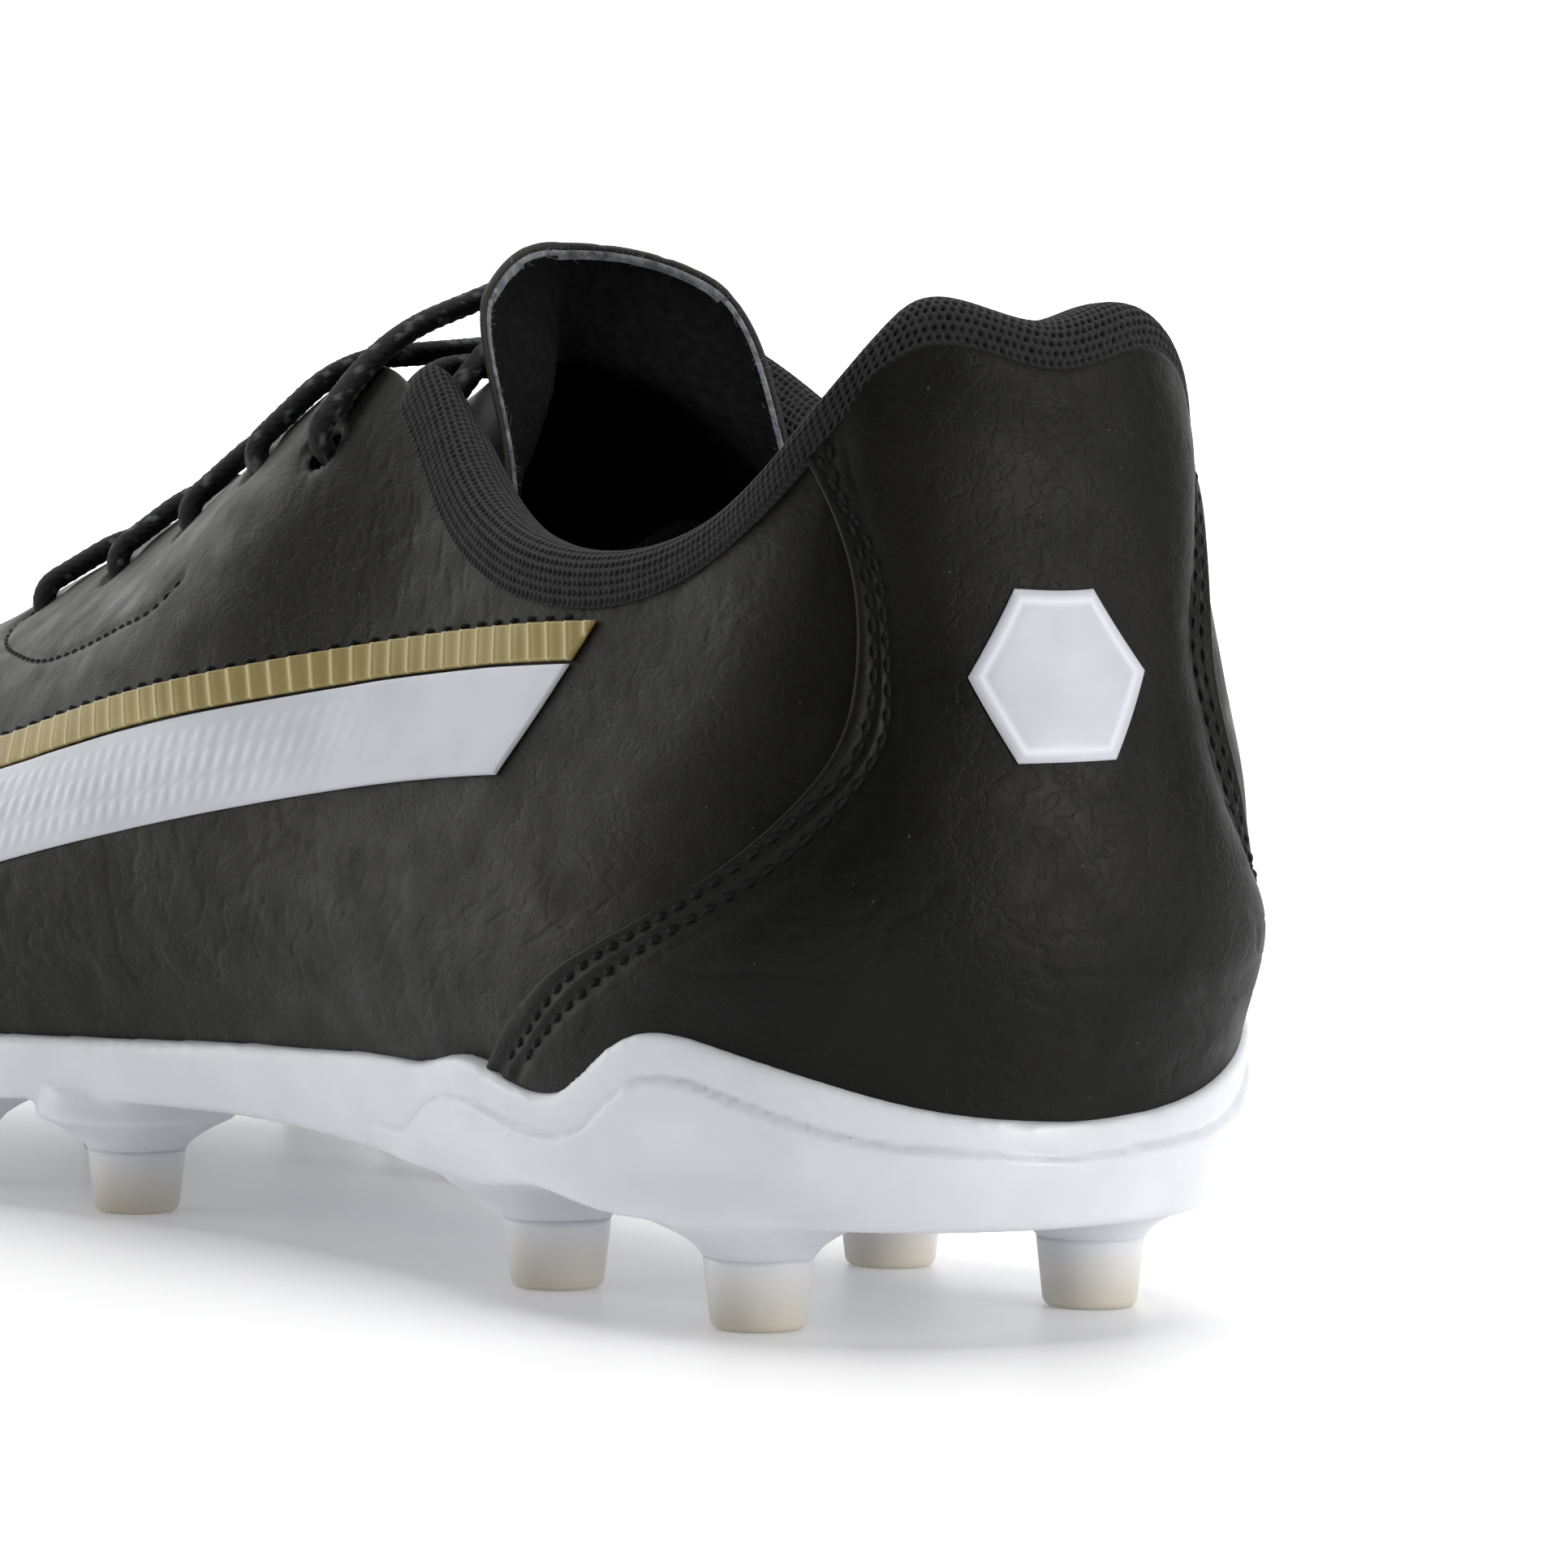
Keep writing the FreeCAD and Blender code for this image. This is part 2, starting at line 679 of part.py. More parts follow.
def make_linings(punches):
    """Lining cloth of both sides, and the eyestay backings above it."""
    lateral = strip(
        constant(0.0004), lambda h: vamp_lateral(h) - SEAM_GAP, constant(TUCK), below_binding,
    )
    medial = strip(
        lambda h: vamp_medial(h) + SEAM_GAP, constant(0.9996), constant(TUCK), below_binding,
    )
    stay_lateral = strip(
        constant(0.19), lambda h: vamp_lateral(h) - 0.004, constant(0.58), below_binding,
    )
    stay_medial = strip(
        lambda h: vamp_medial(h) + 0.004, constant(0.803), constant(0.58), below_binding,
    )
    nodes = []
    for name, where, outside, inside, punch, count in (
        ("quarter_lining_lateral", lateral, lining_outside, lining_inside, punches[0], 40),
        ("quarter_lining_medial", medial, lining_outside, lining_inside, punches[1], 40),
        ("eyestay_backing_lateral", stay_lateral, flat(STIFF_OUT), flat(STIFF_IN), punches[0], 20),
        ("eyestay_backing_medial", stay_medial, flat(STIFF_OUT), flat(STIFF_IN), punches[1], 20),
    ):
        nodes.append(punched(name, layer(where, outside, inside, count, 18), punch))
    return nodes


def make_collar():
    """Padding behind the collar leather, and the knit binding over its edge."""
    foam = strip(constant(-0.183), constant(0.179), constant(0.535), below_binding)
    foam_out = flat(STIFF_IN)

    def foam_in(q, height):
        return lining_outside(q, height) + size("layer_gap")

    top = size("binding_height")
    outer = []
    inner = []
    count = 60
    for i in range(count + 1):
        q = mix(COLLAR_MEDIAL, COLLAR_LATERAL, i / count)
        edge = last.point(q, EDGE)
        out = last.normal(q, EDGE)
        up = (last.point(q, EDGE + 0.004) - edge).normalize()
        depth = lining_inside(q, EDGE) - 0.3
        middle = depth * 0.5
        out_side = 0.5 + 0.8 * (1.0 - ease(abs(q), 0.05, 0.08))
        sections = (
            (outer, ((out_side, 0.3), (out_side, 0.55 * top), (middle * 0.4, top), (middle, top))),
            (inner, ((depth, 0.3), (depth, 0.55 * top), (middle * 1.6, top), (middle - 0.6, top))),
        )
        for rows, section in sections:
            row = []
            for index, (side, rise) in enumerate(section):
                crown = 0.35 if index == 3 else 0.0
                row.append(edge + out * side + up * (rise + crown))
            rows.append(row)
    return [
        feature("collar_padding", layer(foam, foam_out, foam_in, 40, 8)),
        feature("collar_binding", solid_between(outer, inner)),
    ]


# ---------------------------------------------------------------- tongue

TONGUE_BASE = (0.345, -0.352)      # where the tongue starts under the vamp, on each side
TONGUE_TOP = (0.186, -0.194)       # its top edge on the ridge
TONGUE_EDGE = (0.15, -0.136)      # the ends of its top edge
tongue_wing = profile((0.0, 0.7), (0.3, 0.64), (0.6, 0.62), (0.85, 0.66), (1.0, 0.72))


def tongue_point(along, across, under):
    """along: 0 at the vamp, 1 at the top. across: -1 lateral wing, 0 ridge, 1 medial wing."""
    side = 0 if across < 0 else 1
    wing = abs(across)
    height = mix(0.9995, tongue_wing(along), wing)
    end = mix(TONGUE_TOP[side], TONGUE_EDGE[side], wing ** 1.6)
    q = mix(TONGUE_BASE[side], end, along)
    top = ease(along, 0.95, 1.0)
    crown = 1.0 - ease(wing, mix(0.1, 0.42, top), mix(0.45, 0.86, top))
    rise = mix(0.13, 0.93, top) * crown + 0.06 * top * (1.0 - crown)
    return last.offset(q, height, -size("tongue_depth") * (1.0 - rise) - under)


def tongue_sheet(under, gauge):
    grids = ([], [])
    across = 12
    places = [i / 20 for i in range(19)] + [0.93, 0.95, 0.965, 0.98, 0.99, 1.0]
    for along in places:
        for rows, depth in ((grids[0], under), (grids[1], under + gauge)):
            rows.append([
                tongue_point(along, j / across, depth) for j in range(-across, across + 1)
            ])
    return solid_between(*grids)


def make_tongue():
    leather = size("tongue_gauge")
    return [
        feature("tongue_leather", tongue_sheet(0.0, leather)),
        feature("tongue_felt", tongue_sheet(leather + size("layer_gap"), size("felt_gauge"))),
    ]


# ---------------------------------------------------------------- trim

# Top edge of the side band: its height at a place forward of the heel.
BAND_LINE = profile((30, 65.9), (60, 64.4), (90, 60.8), (120, 55.8), (150, 49.5), (185, 41.0))
BAND_ENDS = (0.0985, 0.284)
BAND_SLANT = 0.006


def band_level(q, drop):
    """Height parameter at which the band's line, lowered by drop, crosses the last at q."""
    low = 0.15
    high = 0.77
    for step in range(26):
        middle = 0.5 * (low + high)
        here = last.point(q, middle)
        if here.z > BAND_LINE(size("heel_reach") - here.x) - drop:
            high = middle
        else:
            low = middle
    return 0.5 * (low + high)


def band(name, medial, start, end):
    """Film strip between two drops below the band's top line."""
    def where(s, t):
        drop = mix(end, start, t)
        around = mix(BAND_ENDS[0], BAND_ENDS[1], s) + BAND_SLANT * (drop / 10.0)
        q = 1.0 - around if medial else around
        return q, band_level(q, drop)
    under = size("skin_gap")
    return feature(name, layer(where, flat(under + size("film_gauge")), flat(under), 40, 4))


def make_bands():
    nodes = []
    for side, medial in (("lateral", False), ("medial", True)):
        nodes.append(band(f"side_band_ribbed_{side}", medial, 0.0, 3.8))
        nodes.append(band(f"side_band_plain_{side}", medial, 4.1, 14.5))
    return nodes


def make_emblem():
    """Six-sided film emblem in the middle of the heel panel."""
    q = 0.0035
    height = 0.5
    low = size("panel_gauge") + 2 * size("skin_gap")
    film = layer(
        lambda s, t: (mix(q - 0.03, q + 0.03, s), mix(height - 0.16, height + 0.16, t)),
        flat(low + size("film_gauge")), flat(low), 12, 12,
    )
    out = last.normal(q, height)
    side = Vector(0, 0, 1).cross(out).normalize()
    up = out.cross(side).normalize()
    middle = last.offset(q, height, -8.0)
    radius = size("emblem_radius")
    corners = []
    for i in range(7):
        turn = math.radians(60.0 * i + 30.0)
        corners.append(middle + side * (radius * math.cos(turn)) + up * (radius * math.sin(turn)))
    blank = feature("emblem_film", film)
    cutter = feature("emblem_outline", Part.Face(Part.makePolygon(corners)).extrude(out * 20.0))
    emblem = doc.addObject("Part::Common", "heel_emblem")
    emblem.Base = blank
    emblem.Tool = cutter
    emblem.Label = "heel_emblem"
    return [emblem]


# ---------------------------------------------------------------- lace

LACE_UNDER = -5.0      # lace centre under the lining
LACE_OVER = 2.5        # lace centre over the leather
LACE_EDGE = -4.7       # lace centre where it dives under the throat edge
RIDGE_ON = 0.9995      # height parameter of a point on the ridge
CROSSING_HEIGHT = 0.93           # where a run passes beside the ridge
CROSSING_SHARES = (0.22, 0.42, 0.58, 0.72)    # of the way from one eyelet to the next
UPPER_CROSSING = (-1.4, -1.4)    # lace centre beside the ridge, before and after it
LOWER_CROSSING = (-5.0, -5.0)
TOP_HEIGHT = 0.968               # the same at the top crossing
TOP_SHARES = (-0.05, 0.16, 0.54, 1.0)
UPPER_TOP = (-1.1, 0.15)
LOWER_TOP = (-4.8, -4.25)
TOP_CROSSING = {1: 0.1887, -1: -0.196}
# The free ends run down inside the collar and forward under the lining, as (q, h).
TUCKED_RUN = ((0.187, 0.72), (0.189, 0.65), (0.197, 0.605), (0.213, 0.59), (0.234, 0.59),
              (0.256, 0.59))
TUCKED_LEVEL = LACE_UNDER - 0.8
MEDIAL_TUCK_SHIFT = 0.008
TIP_GAP = 0.05         # between the lace and its moulded tips


def crossing(side, q_from, q_to, shares, height, levels, landing):
    """Points from one side's edge over the ridge to the other side's edge."""
    other = -side
    around = (
        mix(q_from[side], q_to[side], shares[0]),
        mix(q_from[side], q_to[side], shares[1]),
        mix(q_from[other], q_to[other], shares[2]),
        mix(q_from[other], q_to[other], shares[3]),
    )
    return [
        last.offset(around[0], 0.8, LACE_OVER),
        last.offset(around[1], height, levels[0]),
        last.offset(around[2], height, levels[1]),
        last.offset(around[3], 0.83, landing),
    ]


def lace_route():
    """The whole lace, from one tucked tip to the other."""
    eyelets = [{1: a, -1: b} for a, b in zip(LATERAL_EYELETS, MEDIAL_EYELETS)]
    strands = []
    for first in (1, -1):
        side = first
        points = []
        for index, here in enumerate(eyelets):
            points.append(last.offset(here[side], EYELET_LEVEL, LACE_UNDER))
            points.append(last.offset(here[side], EYELET_LEVEL, LACE_OVER))
            upper = (index % 2 == 0) == (first == 1)
            if index == EYELETS - 1:
                points += crossing(side, here, TOP_CROSSING, TOP_SHARES, TOP_HEIGHT,
                                   UPPER_TOP if upper else LOWER_TOP, TUCKED_LEVEL)
            else:
                points += crossing(side, here, eyelets[index + 1], CROSSING_SHARES,
                                   CROSSING_HEIGHT, UPPER_CROSSING if upper else LOWER_CROSSING,
                                   LACE_EDGE)
            side = -side
        for around, height in TUCKED_RUN:
            shift = 0.0 if side > 0 else MEDIAL_TUCK_SHIFT
            points.append(last.offset(side * (around + shift), height, TUCKED_LEVEL))
        strands.append(points)
    lateral_bar = mix(eyelets[0][1], TONGUE_BASE[0], 0.1)
    bar = [last.offset(lateral_bar, RIDGE_ON, -3.2)]
    return list(reversed(strands[1])) + bar + strands[0]


def rounded_path(points):
    """Straight runs joined by tangent arcs, each as large as its two runs allow."""
    edges = []
    radii = []
    here = points[0]
    for before, corner, after in zip(points, points[1:], points[2:]):
        back = before - corner
        ahead = after - corner
        short = min(back.Length, ahead.Length)
        turn = math.pi - back.getAngle(ahead)
        reach = 0.45 * short
        radius = reach / math.tan(turn / 2)
        radii.append(radius)
        back.normalize()
        ahead.normalize()
        start = corner + back * reach
        end = corner + ahead * reach
        toward = (back + ahead).normalize()
        centre = corner + toward * math.hypot(radius, reach)
        middle = centre - toward * radius
        edges.append(Part.LineSegment(here, start).toShape())
        edges.append(Part.Arc(start, middle, end).toShape())
        here = end
    edges.append(Part.LineSegment(here, points[-1]).toShape())
    return Part.Wire(edges), radii


def make_lace():
    """One lace, and a moulded tip on each end."""
    points = lace_route()
    path, radii = rounded_path(points)
    spine = feature("lace_path", path)
    radius = size("lace_radius")
    print("lace length", round(path.Length), "tightest bend", round(min(radii), 2))
    circle = doc.addObject("Part::Circle", "lace_section")
    bind(circle, Radius="lace_radius")
    away = (points[1] - points[0]).normalize()
    circle.Placement = Placement(points[0], Rotation(Vector(0, 0, 1), away))
    lace = doc.addObject("Part::Sweep", "lace")
    lace.Sections = [circle]
    lace.Spine = (spine, [f"Edge{i + 1}" for i in range(len(path.Edges))])
    lace.Solid = True
    lace.Label = "lace"
    nodes = [lace]
    ends = (("lace_tip_lateral", points[0], points[1]), ("lace_tip_medial", points[-1], points[-2]))
    for name, end, before in ends:
        tip = doc.addObject("Part::Cylinder", name)
        bind(tip, Radius="aglet_radius", Height="aglet_height")
        out = (end - before).normalize()
        tip.Placement = Placement(end + out * TIP_GAP, Rotation(Vector(0, 0, 1), out))
        tip.Label = name
        nodes.append(tip)
    doc.recompute()
    drawn = math.pi * radius ** 2 * path.Length
    print("lace volume over section times length", round(lace.Shape.Volume / drawn, 4))
    return nodes


# ---------------------------------------------------------------- the boot

def make_boot():
    nodes = make_outsole() + make_footbed()
    punches = (
        eyelet_punch("lateral_punch", LATERAL_EYELETS),
        eyelet_punch("medial_punch", MEDIAL_EYELETS),
    )
    nodes += make_vamp()
    nodes += make_quarters(punches)
    nodes += make_heel()
    nodes += make_linings(punches)
    nodes += make_collar()
    nodes += make_tongue()
    nodes += make_bands()
    nodes += make_emblem()
    nodes += make_lace()
    return nodes


def write_steps(nodes):
    """Check every object, then write one STEP file for each sub-part."""
    doc.recompute()
    for item in doc.Objects:
        if "Invalid" in item.State or "Error" in item.State:
            raise RuntimeError(f"{item.Name} failed: {item.State}")
    for node in nodes:
        if node.Shape.isNull() or not node.Shape.isValid():
            raise RuntimeError(f"{node.Label} has no valid shape")
        if not node.Shape.Solids:
            raise RuntimeError(f"{node.Label} has no solid")
    for node in nodes:
        node.Shape.exportStep(os.path.join("parts", f"{node.Label}.step"))
        print(node.Label, len(node.Shape.Solids), round(node.Shape.Volume, 1))


write_steps(make_boot())
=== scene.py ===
import itertools
import math
import bmesh
import bpy
import numpy as np
from mathutils import Matrix, Vector
from mathutils.kdtree import KDTree


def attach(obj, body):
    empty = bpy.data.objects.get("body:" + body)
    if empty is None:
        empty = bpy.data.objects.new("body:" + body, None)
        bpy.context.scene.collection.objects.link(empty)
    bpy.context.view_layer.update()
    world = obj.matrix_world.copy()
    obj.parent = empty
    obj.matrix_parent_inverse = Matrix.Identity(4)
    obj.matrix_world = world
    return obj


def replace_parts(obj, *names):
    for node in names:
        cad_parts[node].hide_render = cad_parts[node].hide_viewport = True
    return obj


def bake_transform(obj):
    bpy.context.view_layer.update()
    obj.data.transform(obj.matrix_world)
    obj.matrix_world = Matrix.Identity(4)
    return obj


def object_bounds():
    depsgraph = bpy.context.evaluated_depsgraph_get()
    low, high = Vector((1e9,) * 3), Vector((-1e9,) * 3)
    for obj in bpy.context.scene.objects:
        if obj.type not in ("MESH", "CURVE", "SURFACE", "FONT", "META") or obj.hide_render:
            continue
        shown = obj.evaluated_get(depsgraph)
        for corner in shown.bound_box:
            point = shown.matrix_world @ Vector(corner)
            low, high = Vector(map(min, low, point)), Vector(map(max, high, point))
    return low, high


# A left soccer cleat's looks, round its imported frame. Lengths in this script are millimetres and
# become metres where a mesh is made. +X is the heel, -X the toe, -Y the lateral side, +Z is up.

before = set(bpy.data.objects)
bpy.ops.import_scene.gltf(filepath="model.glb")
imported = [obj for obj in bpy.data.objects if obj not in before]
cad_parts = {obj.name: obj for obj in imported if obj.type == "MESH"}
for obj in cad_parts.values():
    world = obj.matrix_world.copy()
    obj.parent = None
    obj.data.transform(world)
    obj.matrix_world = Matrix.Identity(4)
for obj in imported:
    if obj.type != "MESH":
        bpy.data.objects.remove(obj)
cad_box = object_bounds()
MM = 0.001

# ------------------------------------------------------------------ camera

TARGET = Vector((81.2, 1.9, 50.0)) * MM
CAMERA_AZIMUTH = math.radians(59.2)
CAMERA_ELEVATION = math.radians(2.7)
CAMERA_DISTANCE = 0.65
CAMERA_ROLL = math.radians(0.5)
CAMERA_LENS = 150.75
CAMERA_SENSOR = 36.0
CAMERA_SHIFT = (0.030, -0.008)
CAMERA_CLIP = 0.01


def new_object(name, data):
    item = bpy.data.objects.new(name, data)
    bpy.context.scene.collection.objects.link(item)
    return item


def make_camera():
    data = bpy.data.cameras.new("camera")
    data.lens = CAMERA_LENS
    data.sensor_width = CAMERA_SENSOR
    data.shift_x, data.shift_y = CAMERA_SHIFT
    data.clip_start = CAMERA_CLIP
    camera = new_object("camera", data)
    level = math.cos(CAMERA_ELEVATION)
    away = Vector((math.sin(CAMERA_AZIMUTH) * level, -math.cos(CAMERA_AZIMUTH) * level,
                   math.sin(CAMERA_ELEVATION)))
    turn = away.to_track_quat("Z", "Y").to_matrix() @ Matrix.Rotation(CAMERA_ROLL, 3, "Z")
    camera.matrix_world = Matrix.Translation(TARGET + away * CAMERA_DISTANCE) @ turn.to_4x4()
    bpy.context.scene.camera = camera


make_camera()

# ------------------------------------------------------------------ the last

HEEL_REACH = 141.17
SIDE_SHIFT = 1.9
WIDEST = 0.25      # h of the last's widest line
EDGE = 0.78        # h of the collar's and the throat's edge
RIDGE_ON = 0.9995  # h just under the ridge, where both sides meet
FAR = 1e3
STATIONS = (
    ((2, 0, 14), (-1, 0, 38), (5.2, 0, 90), (18, 0, 135)),
    ((7, -17, 14), (4, -19.5, 37), (7.5, -12, 92), (20, 0, 135)),
    ((20, -28, 14), (17, -30.5, 35), (13.5, -20, 82.5), (25, 0, 132)),
    ((38, -32, 14), (36, -35, 34), (30, -24, 71.5), (38, 0, 128)),
    ((60, -31, 14.5), (60, -35.5, 32), (53, -26.5, 69.5), (57, 0, 120)),
    ((85, -30.5, 16), (84, -35.5, 34), (77, -23.5, 78), (80, 0, 108)),
    ((110, -32.5, 16.5), (108, -38, 34), (99.5, -18, 90.5), (102, 0, 101)),
    ((140, -39, 15.5), (138, -43.5, 31), (135, -14.5, 81.2), (137, 0, 87)),
    ((170, -45.5, 13.5), (169, -48.5, 28), (170, -12.5, 71), (170, 0, 75)),
    ((200, -47.5, 13), (200, -50, 25), (200, -13, 61.5), (199, 2, 64.4)),
    ((228, -44, 14.5), (228, -46, 25), (223, -14, 53), (221, 3, 55.4)),
    ((254, -34, 18.5), (254, -36, 28), (240, -10, 46.5), (236, 5, 49.3)),
    ((273, -18, 23), (274.5, -19, 30), (249, -2, 43), (243, 5.8, 46.5)),
    ((282, 4, 25.5), (284.5, 4, 32), (253, 6, 42), (245, 6, 46)),
    ((277, 21, 24), (279, 22, 31), (251, 13, 43), (243, 5.8, 46.5)),
    ((260, 34, 19.5), (261, 36, 29), (243, 18, 46.5), (236, 5, 49.3)),
    ((235, 42, 15.5), (235, 44.5, 26), (226, 18, 53), (221, 3, 55.4)),
    ((205, 43.5, 13), (205, 46, 25), (202, 16.5, 61.5), (199, 2, 64.4)),
    ((175, 38.5, 13.5), (174, 41.5, 28), (171, 14.5, 71), (170, 0, 75)),
    ((145, 30, 16.5), (144, 34, 33), (136, 15, 81), (137, 0, 87)),
    ((115, 25, 18.5), (112, 30, 38), (100, 18, 92.5), (102, 0, 101)),
    ((88, 25.5, 17.5), (86, 31, 37), (78, 23.5, 83.5), (80, 0, 108)),
    ((62, 28.5, 15), (62, 33, 35), (54, 26, 73.5), (57, 0, 120)),
    ((39, 31.5, 14), (37, 35, 35), (31, 24, 73.5), (38, 0, 128)),
    ((20, 28, 14), (17, 30, 36), (14, 20, 83.5), (25, 0, 132)),
    ((7, 17, 14), (4, 20, 37), (7.5, 12, 92), (20, 0, 135)),
)


def place(forward, side, up):
    return np.array([HEEL_REACH - forward, side + SIDE_SHIFT, up], float)


def unit(vectors):
    return vectors / (np.linalg.norm(vectors, axis=-1, keepdims=True) + 1e-12)


def hermite(part, low, high, low_slope, high_slope):
    """Cubic through two values with given slopes; part runs from 0 to 1."""
    square = part * part
    cube = square * part
    return ((2 * cube - 3 * square + 1) * low + (cube - 2 * square + part) * low_slope
            + (3 * square - 2 * cube) * high + (cube - square) * high_slope)


class Last:
    """The last's surface: q runs once round it from the heel, h runs up from the feather line."""

    def __init__(self):
        rows = np.array([[place(*point) for point in row] for row in STATIONS])
        feather = rows[:, 0]
        steps = np.linalg.norm(np.roll(feather, -1, 0) - feather, axis=1)
        self.knots = np.concatenate([[0.0], np.cumsum(steps)]) / steps.sum()
        self.values = np.concatenate([rows, rows[:1]]).reshape(len(rows) + 1, -1)
        self.slopes = self.periodic_slopes()

    def periodic_slopes(self):
        gaps = np.diff(self.knots)
        count = len(gaps)
        matrix = np.zeros((count, count))
        right = np.zeros((count, self.values.shape[1]))
        rise = np.diff(self.values, axis=0) / gaps[:, None] ** 2
        for i in range(count):
            matrix[i, i - 1] += 1 / gaps[i - 1]
            matrix[i, i] += 2 / gaps[i - 1] + 2 / gaps[i]
            matrix[i, (i + 1) % count] += 1 / gaps[i]
            right[i] = 3 * (rise[i - 1] + rise[i])
        slopes = np.linalg.solve(matrix, right)
        return np.vstack([slopes, slopes[:1]])

    def section_points(self, q):
        around = np.mod(q, 1.0)
        i = np.clip(np.searchsorted(self.knots, around, side="right") - 1, 0, len(self.knots) - 2)
        gap = (self.knots[i + 1] - self.knots[i])[..., None]
        part = (around - self.knots[i])[..., None] / gap
        flat = hermite(part, self.values[i], self.values[i + 1],
                       gap * self.slopes[i], gap * self.slopes[i + 1])
        return [flat[..., 3 * k:3 * k + 3] for k in range(4)]

    def point(self, q, h):
        q, h = np.broadcast_arrays(np.asarray(q, float), np.asarray(h, float))
        points = self.section_points(q)
        steps = [b - a for a, b in zip(points, points[1:])]
        lengths = [np.linalg.norm(step, axis=-1, keepdims=True) for step in steps]
        first = steps[0] / lengths[0]
        final = unit(steps[2] * np.array([1.0, 1.0, 0.0]))
        right_1 = 3 * (steps[0] / lengths[0] ** 2 + steps[1] / lengths[1] ** 2) - first / lengths[0]
        right_2 = 3 * (steps[1] / lengths[1] ** 2 + steps[2] / lengths[2] ** 2) - final / lengths[2]
        a = 2 * (1 / lengths[0] + 1 / lengths[1])
        b = 1 / lengths[1]
        c = 2 * (1 / lengths[1] + 1 / lengths[2])
        inner_1 = (c * right_1 - b * right_2) / (a * c - b * b)
        inner_2 = (a * right_2 - b * right_1) / (a * c - b * b)
        slopes = (first, inner_1, inner_2, final)
        levels = (0.0, WIDEST, EDGE, 1.0)
        out = np.zeros(points[0].shape)
        for k in range(3):
            part = ((h - levels[k]) / (levels[k + 1] - levels[k]))[..., None]
            span = hermite(part, points[k], points[k + 1],
                           lengths[k] * slopes[k], lengths[k] * slopes[k + 1])
            chosen = (h < levels[1]) if k == 0 else (h >= levels[k])
            out = np.where(chosen[..., None], span, out)
        return out

    def normal(self, q, h):
        """Unit vectors out of the boot."""
        step = 1e-4
        up = self.point(q, np.minimum(h + step, 1.0)) - self.point(q, np.maximum(h - step, 0.0))
        along = self.point(q + step, h) - self.point(q - step, h)
        return unit(np.cross(up, along))

    def along(self, q, h):
        """Unit vectors along the boot, towards growing q."""
        step = 1e-4
        return unit(self.point(q + step, h) - self.point(q - step, h))

    def offset(self, q, h, out):
        q, h, out = (np.asarray(value, float) for value in (q, h, out))
        return self.point(q, h) + self.normal(q, h) * out[..., None]


last = Last()


def profile(*pairs):
    """A smooth function through (place, value) pairs."""
    x, y = np.array(pairs, float).T
    gaps = np.diff(x)
    matrix = np.eye(len(x))
    right = np.zeros(len(x))
    for i in range(1, len(x) - 1):
        matrix[i, i - 1:i + 2] = gaps[i - 1], 2 * (gaps[i - 1] + gaps[i]), gaps[i]
        right[i] = 6 * ((y[i + 1] - y[i]) / gaps[i] - (y[i] - y[i - 1]) / gaps[i - 1])
    bend = np.linalg.solve(matrix, right)

    def value(at):
        at = np.clip(np.asarray(at, float), x[0], x[-1])
        i = np.clip(np.searchsorted(x, at, side="right") - 1, 0, len(x) - 2)
        gap = gaps[i]
        high = (at - x[i]) / gap
        low = 1 - high
        curve = (low ** 3 - low) * bend[i] + (high ** 3 - high) * bend[i + 1]
        return low * y[i] + high * y[i + 1] + curve * gap * gap / 6
    return value


def constant(value):
    return lambda at: np.full(np.shape(at), float(value))


def mix(a, b, part):
    return a + (b - a) * part


def ease(at, start, end):
    """0 before start, 1 after end, smooth between them."""
    part = np.clip((np.asarray(at, float) - start) / (end - start), 0.0, 1.0)
    return part * part * (3 - 2 * part)


def bell(at, middle, width):
    """1 at the middle, falling off on both sides."""
    return np.exp(-((at - middle) / width) ** 2)


def from_heel(q):
    """How far round the boot from the heel, 0 to 0.5 on either side."""
    around = np.mod(q, 1.0)
    return np.minimum(around, 1 - around)


def run_along(points):
    """Length of a line, or of each line of a grid, up to each of its points."""
    steps = np.linalg.norm(np.diff(points, axis=0), axis=-1)
    return np.concatenate([np.zeros((1,) + steps.shape[1:]), np.cumsum(steps, axis=0)])


def along_line(at, run, line):
    return np.stack([np.interp(at, run, line[:, k]) for k in range(3)], 1)


def tree_of(points):
    tree = KDTree(len(points))
    for i, point in enumerate(points):
        tree.insert(point, i)
    tree.balance()
    return tree


def random_cells(cells, seed):
    """One number from 0 to 1 for each whole-number cell of the last axis."""
    big = np.uint64(0xFFFFFFFF)
    primes = (73856093, 19349663, 83492791)
    mixed = np.full(cells.shape[:-1], seed * 40503 + 977, np.uint64)
    for k in range(cells.shape[-1]):
        part = (cells[..., k].astype(np.int64) + 100000).astype(np.uint64)
        mixed = (mixed ^ (part * np.uint64(primes[k]))) & big
    for shift, factor in ((15, 2246822519), (13, 3266489917)):
        mixed = ((mixed ^ (mixed >> np.uint64(shift))) * np.uint64(factor)) & big
    mixed = mixed ^ (mixed >> np.uint64(16))
    return mixed.astype(float) / float(0xFFFFFFFF)


def noise(points, size, seed):
    """Smooth random field from -1 to 1. size is one bump's size in mm, alike or for each axis."""
    scaled = points / np.asarray(size, float)
    base = np.floor(scaled)
    part = scaled - base
    part = part * part * (3 - 2 * part)
    total = np.zeros(points.shape[:-1])
    for corner in itertools.product((0, 1), repeat=3):
        weight = np.prod(np.where(np.array(corner) > 0, part, 1 - part), axis=-1)
        total += weight * random_cells(base + corner, seed)
    return 2 * total - 1


def creases(points, size, seed):
    """Random narrow folds: 0 between them, 1 at the bottom of a fold."""
    field = np.abs(noise(points, size, seed) + 0.4 * noise(points, np.asarray(size) * 0.45, seed + 1))
    return np.clip(1 - field * 5, 0, 1) ** 2


# ------------------------------------------------------------------ meshes

